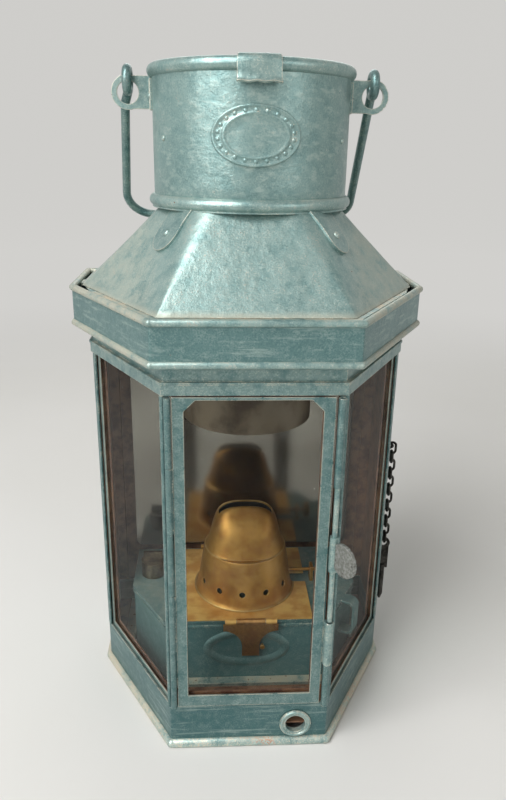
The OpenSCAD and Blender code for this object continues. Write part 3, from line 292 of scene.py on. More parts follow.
def enamel(name, deep_paint_and_shade=0.4, wear=0.5, rub_and_sheen=0.0, dust=0.3, rust=0.3, brush=None, sand=None,
           inside=None, flank=0.0, metal=0.6):
    """Brushed enamel. The first share darkens the whole part towards the darkest teal: partly the
    paint's own darker tone, partly painted shade on parts that stood away from the light, such as
    the skirt. The rubbing share lightens it in patches and wears it through to tin and primer: worn
    paint, and on the roof and drum also a painted sheen. sand is a pair of heights between which
    dirt thins out, flank mixes the dust colour into what lies far to either side, inside is a mask
    for the side that was left in red oxide, and metal is how much metal powder shows."""
    paint = Finish(name)
    clouds = paint.noise(0.045, 3)
    lumps = paint.noise(0.0042, 3)
    grain = paint.noise(0.0008, 2, 0.6)
    spots = paint.noise(0.009, 5, 0.7)
    # A darker base for the whole part: partly the paint's own tone, partly painted shade.
    colour = paint.mix(deep_paint_and_shade, ENAMEL, ENAMEL_DEEP)
    colour = paint.mix(clouds.step(0.6, 0.35) * 0.25, colour, ENAMEL_DEEP)
    powder = (lumps * 0.45 + grain * 0.65).step(0.5, 0.76) * (0.22 + 0.3 * rub_and_sheen)
    colour = paint.mix(powder, colour, ENAMEL_LIGHT)
    colour = paint.mix(grain.step(0.46, 0.3) * 0.3, colour, ENAMEL_DEEP)
    height = lumps * 0.8 + grain * 0.22
    if brush:
        strokes = paint.noise(0.004, 3, 0.6, brush)
        colour = paint.mix(strokes.step(0.52, 0.7) * 0.3, colour, ENAMEL_LIGHT)
        height = height + strokes * 0.5
    # Light patches and bare spots: worn paint, and on the roof and drum also a painted sheen.
    if rub_and_sheen:
        colour = paint.mix(spots.step(0.3, 0.6) * rub_and_sheen * 0.8, colour, ENAMEL_LIGHT)
        bare = (spots * 0.5 + grain * 0.75).step(0.76 - 0.12 * rub_and_sheen, 0.86 - 0.12 * rub_and_sheen)
        under = paint.mix(clouds.step(0.5, 0.62), WORN_TIN, PRIMER)
        colour = paint.mix(bare * rub_and_sheen, colour, under)
    dirt = paint.facing_up() * (spots + clouds).step(0.8, 1.2) * dust
    if sand:
        level = paint.along((0, 0, 1)) + 0.006 * spots
        dirt = dirt.either(level.step((sand[1] + 3) * MM, (sand[0] + 3) * MM) * 0.5)
    # Dust colour mixed into what lies far to either side.
    if flank:
        beside = abs(paint.along((1, 0, 0))).step(0.044, 0.062)
        dirt = dirt.either(beside * (spots + grain * 0.4).step(0.4, 0.8) * flank)
    colour = paint.mix(dirt, colour, DUST)
    chips = paint.edges(1.0 * MM)
    chips = chips * (spots * 1.2 + grain * 0.5).step(1.12 - 0.5 * wear, 1.24 - 0.5 * wear)
    colour = paint.mix(chips * 0.85, colour, WORN_TIN)
    flecks = (paint.noise(0.0022, 2) * spots).step(0.50 - 0.14 * rust, 0.53 - 0.14 * rust)
    colour = paint.mix(flecks, colour, RUST)
    bright = metal * (1 - flecks) * (1 - 0.8 * dirt)
    if inside:
        hidden = inside(paint)
        oxide = paint.mix(spots.step(0.35, 0.6), OXIDE_DARK, OXIDE)
        colour = paint.mix(hidden, colour, oxide)
        bright = bright * (1 - hidden)
    paint.set(Base_Color=colour, Metallic=bright,
              Roughness=0.31 + 0.25 * dirt + 0.3 * flecks + 0.1 * grain,
              Normal=paint.relief(height, 0.3 * MM, 0.45 * MM))
    return paint


def dress(finish, *names):
    """Gives CAD nodes a finish."""
    for name in names:
        nodes[name].data.materials.clear()
        nodes[name].data.materials.append(finish.material)


def piece(name, points, faces, finish, body="case", slot="paint", crease=35):
    """A new piece from points in millimetres, smooth wherever it turns by less than crease."""
    work = bmesh.new()
    corners = [work.verts.new([v * MM for v in point]) for point in points]
    for face in faces:
        work.faces.new([corners[i] for i in face])
    bmesh.ops.remove_doubles(work, verts=work.verts, dist=0.001 * MM)
    bmesh.ops.recalc_face_normals(work, faces=work.faces)
    for face in work.faces:
        face.smooth = True
    for edge in work.edges:
        edge.smooth = len(edge.link_faces) == 2 and edge.calc_face_angle(0) < radians(crease)
    mesh = bpy.data.meshes.new(name)
    work.to_mesh(mesh)
    work.free()
    mesh.materials.append(finish.material)
    made = add(name, mesh)
    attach(made, body)
    return made


def skin(rings, loop=True):
    """Points and faces of a skin over rings of equally many points. It closes up where loop is
    set, and else its two end rings are capped."""
    count = len(rings[0])
    points = [point for ring in rings for point in ring]
    faces = []
    for k in range(len(rings) if loop else len(rings) - 1):
        low, high = k * count, (k + 1) % len(rings) * count
        faces += [(low + i, low + (i + 1) % count, high + (i + 1) % count, high + i)
                  for i in range(count)]
    if not loop:
        faces += [tuple(range(count)), tuple(range(len(points) - count, len(points)))]
    return points, faces


def together(*parts):
    """Several sets of points and faces as one."""
    points, faces = [], []
    for part_points, part_faces in parts:
        faces += [tuple(i + len(points) for i in face) for face in part_faces]
        points += part_points
    return points, faces


def raised(outline, z):
    """A flat outline at a height."""
    return [(x, y, z) for x, y in outline]


def case_plan(out, back=None):
    """The flat-sided plan, out mm outside the case, and back mm behind it."""
    r, rear = CASE_R + out / COS30, CASE_BACK + (out if back is None else back)
    return [(-r / 2, -r * COS30), (r / 2, -r * COS30), (r, 0), (r, rear), (-r, rear), (-r, 0)]


def rounded(corners, bend, steps=4, parts=16):
    """A closed outline with its corners rounded by bend, and each straight side in equal parts."""
    outline, count = [], len(corners)
    for i in range(count):
        before, corner, after, next_one = (Vector(corners[(i + d) % count]) for d in (-1, 0, 1, 2))
        into, out = (corner - before).normalized(), (after - corner).normalized()
        turn = into.angle(out)
        lost = bend * tan(turn / 2)
        start, side = corner - into * lost, (out - into * cos(turn)).normalized()
        for k in range(steps + 1):
            a = turn * k / steps
            outline.append(start + into * bend * sin(a) + side * bend * (1 - cos(a)))
        end = corner + out * lost
        lost_after = bend * tan(out.angle(next_one - after) / 2)
        span = (after - corner).length - lost - lost_after
        outline += [end + out * span * k / parts for k in range(1, parts)]
    return [tuple(point) for point in outline]


def rod(p, q, d, sides=20, ends=5, ground=None):
    """A wire with round ends from p to q, cut flat where it would go under the ground."""
    p, q = Vector(p), Vector(q)
    line = (q - p).normalized()
    side = line.orthogonal().normalized()
    other = line.cross(side)
    arcs = [(k + 0.5) / (ends + 0.5) * pi / 2 for k in range(ends + 1)]
    rings = []
    for centre, sign in ((p, -1), (q, 1)):
        for a in arcs[::-sign]:
            r, at = d / 2 * sin(a), centre + line * sign * d / 2 * cos(a)
            rings.append([at + r * (side * c + other * s) for c, s in circle(1, sides)])
    points, faces = skin(rings, loop=False)
    return [(x, y, z if ground is None else max(ground, z)) for x, y, z in points], faces


def wire_round(corners, d, ground=None):
    """Wires along the sides of a closed outline."""
    return [rod(p, q, d, ground=ground) for p, q in zip(corners, corners[1:] + corners[:1])]


def dented(points, depth, size, seed=0):
    """Moves points towards the flue's axis by up to depth mm, in dents of about size mm."""
    moved = []
    for x, y, z in points:
        push = depth * (0.5 + 0.5 * noise.noise(Vector((x / size + seed, y / size, z / size))))
        r = hypot(x, y)
        moved.append((x - push * x / r, y - push * y / r, z))
    return moved


def cut(made, points, faces):
    """Cuts a solid out of a piece."""
    mesh = bpy.data.meshes.new("cutter")
    mesh.from_pydata([tuple(v * MM for v in point) for point in points], [], faces)
    cutter = add("cutter", mesh)
    tool = made.modifiers.new("cut", "BOOLEAN")
    tool.operation, tool.solver, tool.object = "DIFFERENCE", "EXACT", cutter
    bpy.context.view_layer.update()
    solved = made.evaluated_get(bpy.context.evaluated_depsgraph_get())
    done = bpy.data.meshes.new_from_object(solved)
    made.modifiers.remove(tool)
    made.data = done
    bpy.data.objects.remove(cutter)
    bpy.data.meshes.remove(mesh)


def block(low, high):
    """A box as points and faces, for cutting with."""
    (x0, y0, z0), (x1, y1, z1) = low, high
    base = [(x0, y0), (x1, y0), (x1, y1), (x0, y1)]
    return skin([raised(base, z) for z in (z0, z1)], loop=False)


# The skirt's paint is set dark: painted shade, for a skirt that faces down and away from the light.
skirt_paint = enamel("skirt_enamel", deep_paint_and_shade=0.8, wear=0.9, brush=(0.12, 0.12, 1.6))
skirt_line = [(0, z) for z in SKIRT_LEVELS] + [(-SHEET, z) for z in reversed(SKIRT_LEVELS)]
skirt_rings = [raised(rounded(case_plan(out), SKIRT_BEND + out), z) for out, z in skirt_line]
skirt = piece("skirt", *skin([dented(ring, depth=0.35, size=30) for ring in skirt_rings]),
              skirt_paint)
cut(skirt, *block((-BAY_HALF, CASE_BACK - BAY_CUT, FLOOR_Z),
                  (BAY_HALF, CASE_BACK + BAY_CUT, SKIRT_H + 5)))
cut(skirt, *rod((EYELET_X, -CASE_F - EYELET_CUT, EYELET_Z),
                (EYELET_X, -CASE_F + EYELET_CUT, EYELET_Z), EYELET_HOLE_D, sides=48))

foot_paint = enamel("foot_enamel", deep_paint_and_shade=0.0, wear=0.6, rub_and_sheen=1.1, dust=0.5, rust=0.5, flank=0.75)
foot_line = raised(case_plan(FOOT_BEAD_OUT), FOOT_BEAD_Z)
foot = piece("foot_wire", *together(*wire_round(foot_line, FOOT_BEAD_D, ground=0)), foot_paint)
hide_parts("base_skirt")
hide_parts("base_skirt")


# Air eyelet and floor: a flanged tube soldered through the skirt lets air in under the floor
# plate. The floor is plain tinplate with guides for the lamp, all of it gone to brown rust.
def rusty_tin(name, share=0.5):
    tin = Finish(name)
    clouds, spots, grain = tin.noise(0.02, 4), tin.noise(0.005, 4, 0.7), tin.noise(0.0009, 2)
    colour = tin.mix(clouds.step(0.35, 0.62), srgb(92, 58, 42), srgb(140, 104, 80))
    rusted = (spots + grain * 0.4).step(0.95 - 0.5 * share, 0.6 - 0.3 * share)
    colour = tin.mix(rusted, colour, srgb(70, 38, 28))
    tin.set(Base_Color=colour, Metallic=0.25 * clouds, Roughness=0.5 + 0.25 * spots,
            Normal=tin.relief(spots * 0.6 + grain * 0.3, 0.3 * MM, 0.4 * MM))
    return tin


worn_paint = enamel("worn_enamel", deep_paint_and_shade=0.2, wear=0.8, rub_and_sheen=0.6)
dress(worn_paint, "air_eyelet")
dress(rusty_tin("rusty_floor"), "base_floor")
dress(enamel("guide_enamel", deep_paint_and_shade=0.5, wear=0.9, rub_and_sheen=0.7, dust=0.9, rust=1.0), "tank_guides")


# Corner posts and side panels: the case's edges, folded from the sheet, with a round wire soldered
# up each front corner. The side panels close it behind the glass, and are red oxide inside.
post_paint = enamel("post_enamel", deep_paint_and_shade=0.85, wear=0.5, rub_and_sheen=0.2, dust=0)
dress(post_paint, "corner_posts")


def inside_case(paint):
    """Everything on the inner face of the side panels and back flap."""
    wide = abs(paint.along((1, 0, 0))).step((CASE_R - 0.7) * MM, (CASE_R - 0.9) * MM)
    return wide * paint.along((0, 1, 0)).step((CASE_BACK + 0.8) * MM, (CASE_BACK + 0.6) * MM)


dress(enamel("panel_enamel", deep_paint_and_shade=0.6, wear=0.8, rust=0.5, inside=inside_case),
      "side_panel_left", "side_panel_right")


# Oblique windows: a folded tin frame holds each pane, its channel bare and brown where the paint
# brush didn't reach. The panes are plain sheet glass with a bloom of dust and a few specks.
def window_channel(side):
    """A mask for what lies behind the outer face of the window on a side."""
    out = (sin(radians(60)) * side, -cos(radians(60)), 0)
    return lambda paint: paint.along(out).step((CASE_F - 2.2) * MM, (CASE_F - 2.5) * MM)


for side, hand in ((-1, "left"), (1, "right")):
    dress(enamel(f"window_enamel_{hand}", deep_paint_and_shade=0.5, wear=1.8, rub_and_sheen=0.4,
                 inside=window_channel(side)), f"window_frame_{hand}")

glass = Finish("sheet_glass")
film = glass.noise(0.03, 3)
specks = (glass.cells(0.008) + glass.noise(0.0008, 2) * 0.1).step(0.105, 0.08)
specks = specks * glass.noise(0.02, 2).step(0.5, 0.6)
glass.set(Base_Color=(0.8, 0.82, 0.8, 1), Roughness=0.04 + 0.5 * specks, Metallic=1 - specks)
clear = glass.node("BsdfTransparent", {}, {"Color": (0.9, 0.92, 0.91, 1)})
gloss = glass.node("Fresnel", {}, {"IOR": 1.45})
facing = 1 - glass.node("NewGeometry", output="Backfacing")
covered = (gloss * 0.42 + film.step(0.4, 0.8) * 0.015 + specks * 0.28) * facing
pane = glass.node("MixShader", {}, {0: covered, 1: clear})
glass.tree.links.new(glass.shader.outputs[0], pane.socket.node.inputs[2])
glass.tree.links.new(pane.socket, glass.tree.nodes["Material Output"].inputs["Surface"])
dress(glass, "window_pane_left", "window_pane_right", "door_pane")


# Frieze and crown: a folded band over the windows, stiffened by a ridge. Inside, the crown plate
# carries the tin flue that takes the heat up from the burner.
dress(enamel("frieze_enamel", deep_paint_and_shade=0.5, wear=0.6, rub_and_sheen=0.3, dust=0.5), "frieze")
dress(rusty_tin("crown_tin", 0.2), "crown_plate", "rain_baffle")
flue_tin = Finish("flue_tin")
soot = flue_tin.noise(0.02, 4)
flue_tin.set(Base_Color=flue_tin.mix(soot.step(0.35, 0.65), srgb(74, 58, 46), srgb(128, 112, 94)),
             Metallic=0.6, Roughness=0.35 + 0.3 * soot,
             Normal=flue_tin.relief(flue_tin.noise(0.003, 3), 0.1 * MM, 0.3 * MM))
dress(flue_tin, "inner_chimney")


# Gallery: a band that stands clear of the case to let air in, with a wire soldered along its top
# and bottom edges, each length of wire ending in a round blob where the faces meet.
ROOF_Z, CROWN_Z = 265, 241.5
GALLERY_OUT, GALLERY_BACK, GALLERY_BEAD_D, GALLERY_BEND = 8.5, 5, 4, 1.6
BEAD_OUT = GALLERY_OUT - SHEET / 2
BEAD_LOW, BEAD_HIGH = CROWN_Z + 1.5, ROOF_Z - 1.2
BAND_LEVELS = (BEAD_HIGH, CROWN_Z + 17, CROWN_Z + 10, BEAD_LOW)
BEHIND = GALLERY_BACK - GALLERY_OUT
SHELF_IN, SHELF_LOW, SHELF_HIGH = -4.6, BEAD_LOW - 1.9, BEAD_LOW - 0.9

band_paint = enamel("gallery_enamel", deep_paint_and_shade=0.45, wear=0.5, brush=(0.2, 0.2, 1.4))
wire_paint = enamel("gallery_wire_enamel", deep_paint_and_shade=0.1, wear=0.3, rub_and_sheen=0.45, dust=0.3, rust=0.4,
                    flank=0.6)
band_line = [(GALLERY_OUT, z) for z in BAND_LEVELS]
band_line += [(GALLERY_OUT - SHEET, z) for z in reversed(BAND_LEVELS)]
band_rings = [raised(rounded(case_plan(out, out + BEHIND), GALLERY_BEND), z)
              for out, z in band_line]
band = piece("gallery_sheet",
             *skin([dented(ring, depth=0.4, size=34, seed=5) for ring in band_rings]),
             band_paint)
shelf_line = [(BEAD_OUT, SHELF_LOW), (BEAD_OUT, SHELF_HIGH), (SHELF_IN, SHELF_HIGH),
              (SHELF_IN, SHELF_LOW)]
shelf = piece("gallery_shelf",
              *skin([raised(case_plan(out, out + BEHIND), z) for out, z in shelf_line]),
              band_paint)
bead_plan = case_plan(BEAD_OUT, BEAD_OUT + BEHIND)
wires = [wire for z in (BEAD_LOW, BEAD_HIGH)
         for wire in wire_round(raised(bead_plan, z), GALLERY_BEAD_D)]
gallery_wires = piece("gallery_wires", *together(*wires), wire_paint)
for made in (band, shelf, gallery_wires):
    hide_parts("gallery_band")
dress(wire_paint, "gallery_lugs")


# Roof: one sheet drawn from the flat-sided plan up to the round drum, so that its corners soften
# into a cone. It is dented, dirt lies along its foot, and its flange leaves gaps over the gallery.
ROOF_OUT, ROOF_T, ROOF_LIFT, ROOF_DIP, ROOF_DENT = 3, 1.2, 0.2, 0.3, 1.1
DRUM_Z, DRUM_R = 311, 53.5
TOP_IN, TOP_REACH, LEAST_BEND = 50, 55, 17.7
ROOF_LEVELS = 16
FLANGE_CLIP, FLANGE_OUT, FLANGE_BACK = 20, BEAD_OUT - GALLERY_BEAD_D / 2 - 0.2, GALLERY_BACK - 2.7
FLANGE_SIDE = CASE_R + ROOF_OUT / COS30 + 1
COLLAR_R, COLLAR_LIP_R, COLLAR_BORE_R, COLLAR_TOP = 52.3, 54.6, 49.4, DRUM_Z + 7


def top_fan(before, corner, after, inset, fan):
    """The rounded corner of the sheet's upper end that stands over a corner of its foot."""
    starts, ends = (atan2(-(q - p).x, (q - p).y)
                    for p, q in ((before, corner), (corner, after)))
    turn = (ends - starts) % (2 * pi)
    tip = 1 / cos(turn / 2)
    bend = max(LEAST_BEND, (TOP_IN * tip - TOP_REACH) / (tip - 1)) - inset
    outward = Vector((cos(starts + turn / 2), sin(starts + turn / 2)))
    at = outward * (TOP_IN - inset - bend) * tip
    turns = [starts + turn * k / fan for k in range(fan + 1)]
    return [at + bend * Vector((cos(a), sin(a))) for a in turns]


def roof_ring(share, z, inset=0.0, fan=8, along=14):
    """One level of the sheet, share of the way from the flat-sided foot to the softened top."""
    feet, ring = [Vector(p) for p in case_plan(ROOF_OUT - inset, -inset)], []
    count = len(feet)
    fans = [top_fan(feet[i - 1], feet[i], feet[(i + 1) % count], inset, fan) for i in range(count)]
    for i in range(count):
        after = (i + 1) % count
        ring += [feet[i].lerp(top, share) for top in fans[i]]
        for k in range(1, along):
            top = fans[i][-1].lerp(fans[after][0], k / along)
            ring.append(feet[i].lerp(feet[after], k / along).lerp(top, share))
    return raised(ring, z)


def plate(outlines, z0, z1):
    """A flat plate between two heights, with the later outlines cut out of the first."""
    flat = [[Vector((x, y, 0)) for x, y in outline] for outline in outlines]
    tops, sides, start = geometry.tessellate_polygon(flat), [], 0
    total = sum(len(outline) for outline in outlines)
    for outline in outlines:
        count = len(outline)
        for i in range(count):
            here, after = start + i, start + (i + 1) % count
            sides.append((here, after, total + after, total + here))
        start += count
    points = [(x, y, z) for z in (z0, z1) for outline in outlines for x, y in outline]
    lids = [tuple(t) for t in tops] + [tuple(i + total for i in t) for t in tops]
    return points, lids + sides


def round_ring(r, z, steps=96):
    return raised(circle(r, steps), z)


# The roof's paint is kept light and patched lighter: partly worn paint, partly a painted sheen for
# the light it catches.
roof_paint = enamel("roof_enamel", deep_paint_and_shade=0.0, wear=0.5, rub_and_sheen=0.35, dust=0.1, sand=(265, 269),
                    flank=0.3)
levels = [k / ROOF_LEVELS for k in range(ROOF_LEVELS + 1)]
outside = [roof_ring(s, ROOF_Z + ROOF_LIFT + (DRUM_Z - ROOF_Z - ROOF_LIFT) * s) for s in levels]
within = [roof_ring(s, ROOF_Z - ROOF_DIP + (DRUM_Z - ROOF_Z) * s, ROOF_T) for s in levels]
roof_rings = [dented(ring, depth=ROOF_DENT * sin(pi * s), size=24, seed=9)
              for ring, s in zip(outside + within[::-1], levels + levels[::-1])]
roof = piece("roof_sheet", *skin(roof_rings), roof_paint, crease=50)

flange_reach = CASE_R + FLANGE_OUT / COS30
flange_front, flange_rear = flange_reach * COS30, CASE_BACK + FLANGE_BACK
shoulder = (flange_reach - FLANGE_CLIP / 2, -FLANGE_CLIP * COS30)
flange_line = [(-flange_reach / 2, -flange_front), (flange_reach / 2, -flange_front), shoulder,
               (FLANGE_SIDE, FLANGE_CLIP * 0.4), (FLANGE_SIDE, flange_rear),
               (-FLANGE_SIDE, flange_rear), (-FLANGE_SIDE, FLANGE_CLIP * 0.4),
               (-shoulder[0], shoulder[1])]
flange_paint = enamel("flange_enamel", deep_paint_and_shade=0.2, wear=0.4, rub_and_sheen=0.4, dust=1.0, rust=0.5)
flange = piece("roof_flange",
               *plate([flange_line, case_plan(ROOF_OUT - ROOF_T, -ROOF_T)], ROOF_Z - SHEET, ROOF_Z),
               flange_paint, crease=20)
collar_line = [(COLLAR_R, COLLAR_TOP), (COLLAR_R, DRUM_Z + 0.9), (COLLAR_LIP_R, DRUM_Z + 0.9),
               (COLLAR_LIP_R, DRUM_Z - 0.2), (COLLAR_BORE_R, DRUM_Z - 0.5),
               (COLLAR_BORE_R, COLLAR_TOP)]
collar = piece("roof_collar", *skin([round_ring(r, z) for r, z in collar_line]), roof_paint)
for made in (roof, flange, collar):
    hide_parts("roof")


# Straps: three round-ended tabs of sheet that tie the drum to the roof. Each is bent to lie on the
# roof, goes up under the drum's wired foot, and has one rivet.
STRAP_W, STRAP_L, STRAP_T, STRAP_DROP, STRAP_SINK, STRAP_START = 20, 25, 1.2, 14.5, 0.9, 1.5
STRAP_STEPS, STRAP_COLUMNS = 24, 12
# Each strap's turn about the flue, the reach of the roof's foot there, and its place aside.
STRAPS = ((-60, CASE_F + ROOF_OUT, 13), (60, CASE_F + ROOF_OUT, -17), (180, CASE_BACK, 0))


def on_roof(turn, foot_out, aside, drop, up):
    """A point on one of the roof's faces, aside from its middle line and drop down its slope."""
    tilt = atan2(foot_out - TOP_IN, DRUM_Z - ROOF_Z)
    z = DRUM_Z - drop * cos(tilt)
    share = (z - ROOF_Z) / (DRUM_Z - ROOF_Z)
    flat, bend = foot_out + (TOP_IN - foot_out) * share, LEAST_BEND * share
    past = max(0, abs(aside) - (flat - bend) * tan(pi / 6))
    out = flat - bend + sqrt(max(0, bend ** 2 - past ** 2))
    at = Vector((aside, -out - up * cos(tilt), z + up * sin(tilt)))
    return Matrix.Rotation(radians(turn), 3, "Z") @ at


tabs = []
for turn, foot_out, shift in STRAPS:
    tab_rings = []
    for k in range(STRAP_STEPS + 1):
        reach = (STRAP_L + STRAP_START - 0.02) * sin(pi / 2 * k / STRAP_STEPS)
        drop = reach - STRAP_START
        round_end = max(0, drop - STRAP_L + STRAP_W / 2)
        half = sqrt((STRAP_W / 2) ** 2 - round_end ** 2)
        row = [shift + half * (2 * j / STRAP_COLUMNS - 1) for j in range(STRAP_COLUMNS + 1)]
        tab_rings.append([on_roof(turn, foot_out, u, drop, STRAP_T) for u in row]
                         + [on_roof(turn, foot_out, u, drop, -STRAP_SINK) for u in reversed(row)])
    tabs.append(skin(tab_rings, loop=False))
strap_paint = enamel("strap_enamel", deep_paint_and_shade=0.2, wear=0.9, rub_and_sheen=0.3)
straps = piece("strap_tabs", *together(*tabs), strap_paint, crease=50)
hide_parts("roof_straps")


# Rivets: round heads, painted over, that hold the straps to the roof, the lugs to the drum and the
# drum's lining to its wall. The paint has been rubbed thin on the top of each.
STRAP_RIVET_R, LINING_RIVET_R, LUG_RIVET_R = 2.2, 1.5, 1.6
LINING_RIVET_X, LINING_RIVET_Y, LINING_RIVET_Z = 46.4, -26.6, 346
LUG_Z, LUG_RIVET_X, LUG_RIVET_Y = 369, 54.5, 5


def dome(centre, normal, r, high=0.55, rings=4, sides=14):
    """A low round head on a surface, sunk a little into it."""
    centre, normal = Vector(centre), Vector(normal).normalized()
    side = normal.orthogonal().normalized()
    other = normal.cross(side)
    turns = [pi / 2 * k / (rings + 0.5) for k in range(rings + 1)]
    layers = [(1.0, -0.25)] + [(cos(a), high * sin(a)) for a in turns]
    return skin([[centre + normal * r * up + r * wide * (side * c + other * s)
                  for c, s in circle(1, sides)] for wide, up in layers], loop=False)


rivets = []
for turn, foot_out, shift in STRAPS:
    face, above = (on_roof(turn, foot_out, shift, STRAP_DROP, up) for up in (STRAP_T, STRAP_T + 1))
    rivets.append(dome(face, above - face, STRAP_RIVET_R))
for side in (-1, 1):
    rivets.append(dome((side * LINING_RIVET_X, LINING_RIVET_Y, LINING_RIVET_Z),
                       (side * LINING_RIVET_X, LINING_RIVET_Y, 0), LINING_RIVET_R))
    for y in (-LUG_RIVET_Y, LUG_RIVET_Y):
        rivets.append(dome((side * LUG_RIVET_X, y, LUG_Z - 2), (side, 0, 0), LUG_RIVET_R))
piece("rivet_heads", *together(*rivets), worn_paint)


# Drum: a rolled cylinder of sheet, seamed behind, with a wire rolled into its rim and another at
# its foot. Its paint is set among the lightest, a painted highlight for the light it catches.
DRUM_H, DRUM_BEAD_D = 71.8, 6.7
RIM_Z = DRUM_Z + DRUM_H
RIM_BEAD_R, FOOT_ROLL_R = DRUM_R - 0.85, DRUM_R - 0.6
WALL_TOP, WALL_STEP, WALL_LEVELS = RIM_Z - 3.5, 8, 8
drum_paint = enamel("drum_enamel", deep_paint_and_shade=0.1, wear=0.4, rub_and_sheen=0.2, dust=0.2, brush=(0.5, 0.5, 1.1))
roll_paint = enamel("roll_enamel", deep_paint_and_shade=0.1, wear=0.4, rub_and_sheen=0.4, dust=0.2)
wall_line = [(DRUM_R, WALL_TOP - k * WALL_STEP) for k in range(WALL_LEVELS)]
wall_line += [(DRUM_R, DRUM_Z + 2), (DRUM_R - SHEET, DRUM_Z + 0.4)]
wall_line += [(DRUM_R - SHEET, WALL_TOP - k * WALL_STEP) for k in range(WALL_LEVELS - 2, -1, -2)]
wall_rings = [dented(round_ring(r, z), depth=0.25, size=26, seed=3) for r, z in wall_line]
drum = piece("drum_wall", *skin(wall_rings), drum_paint, crease=50)


def roll(centre_r, centre_z, d, least_r=0.0):
    """A wire bent round the flue's axis, cut off where it would come nearer than least_r."""
    return skin([round_ring(max(least_r, centre_r + out), centre_z + up)
                 for out, up in circle(d / 2, 24)])


rim_roll = roll(RIM_BEAD_R, RIM_Z - DRUM_BEAD_D / 2, DRUM_BEAD_D)
foot_roll = roll(FOOT_ROLL_R, DRUM_Z + DRUM_BEAD_D / 2 + 0.2, DRUM_BEAD_D, DRUM_R - SHEET)
rolls = piece("drum_rolls", *together(rim_roll, foot_roll), roll_paint, crease=60)
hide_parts("chimney_drum")
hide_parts("chimney_drum")


# Oval plate: a blank pressed plate soldered to the front of the drum, with a raised rim and a
# second ridge inside it, and a ring of small pips between the two.
OVAL_W, OVAL_H, OVAL_Z = 45, 29, DRUM_Z + 36.5
# Shares of the plate's size, each with its height over the drum.
RIDGES = ((1.0, 0.0), (1.0, 0.75), (0.985, 1.1), (0.955, 1.2), (0.925, 1.1), (0.895, 0.6),
          (0.87, 0.5), (0.78, 0.5), (0.755, 0.7), (0.735, 1.0), (0.71, 1.05), (0.685, 0.95),
          (0.66, 0.6), (0.64, 0.5), (0.4, 0.55), (0.15, 0.6))
PIPS, PIP_R, PIP_ACROSS, PIP_UP = 22, 1.0, 0.425, 0.405
oval_rings = []
for share, up in RIDGES:
    r, oval_ring = DRUM_R + up - 0.05, []
    for c, s in circle(1, 96):
        turn = OVAL_W / 2 * share * c / DRUM_R
        oval_ring.append((r * sin(turn), -r * cos(turn), OVAL_Z + OVAL_H / 2 * share * s))
    oval_rings.append(oval_ring)
pips = []
for i in range(PIPS):
    a = 2 * pi * (i + 0.5) / PIPS
    turn = OVAL_W * PIP_ACROSS * cos(a) / DRUM_R
    out = Vector((sin(turn), -cos(turn), 0))
    foot_of_pip = out * (DRUM_R + 0.4) + Vector((0, 0, OVAL_Z + OVAL_H * PIP_UP * sin(a)))
    pips.append(dome(foot_of_pip, out, PIP_R))
oval = piece("blank_oval", *together(skin(oval_rings, loop=False), *pips), drum_paint, crease=70)
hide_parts("oval_plate")


# Rim clip: a strip of sheet bent over the front of the drum's rim and pinched on, its outer end
# flared into a lip. Handling has worn its paint thin.
CLIP_W, CLIP_TURN, CLIP_STEPS, CLIP_SAG, SAG_BELOW = 21.3, 0.9, 16, 0.25, -7
clip_z, clip_r = RIM_Z - DRUM_BEAD_D / 2, DRUM_BEAD_D / 2 + 0.1
over = [pi * k / 12 for k in range(1, 12)]
clip_line = [(-clip_r, -8.5), (-clip_r, -4), (-clip_r, 0)]
clip_line += [(-clip_r * cos(a), clip_r * sin(a)) for a in over]
clip_line += [(clip_r, 0), (clip_r, -3.5), (clip_r + 0.1, -6), (clip_r + 0.8, -7.6),
              (clip_r + 2.0, -8.6)]
clip_outer = []
for k, (x, z) in enumerate(clip_line):
    px, pz = clip_line[max(0, k - 1)]
    qx, qz = clip_line[min(len(clip_line) - 1, k + 1)]
    span = hypot(qx - px, qz - pz)
    clip_outer.append((x - (qz - pz) / span, z + (qx - px) / span))
clip_rings = []
for k in range(CLIP_STEPS + 1):
    aside = (k / CLIP_STEPS - 0.5) * CLIP_W / (DRUM_R + DRUM_BEAD_D / 2)
    a = radians(-90 + CLIP_TURN) + aside
    sag = CLIP_SAG * sin(k * 1.1)
    clip_rings.append([((RIM_BEAD_R + x) * cos(a), (RIM_BEAD_R + x) * sin(a),
                        clip_z + z + (sag if z < SAG_BELOW else 0))
                       for x, z in clip_line + clip_outer[::-1]])
clip_paint = enamel("clip_enamel", deep_paint_and_shade=0.3, wear=1.0, rub_and_sheen=0.4, dust=0.3)
clip = piece("bent_clip", *skin(clip_rings, loop=False), clip_paint, crease=50)
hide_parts("rim_clip")


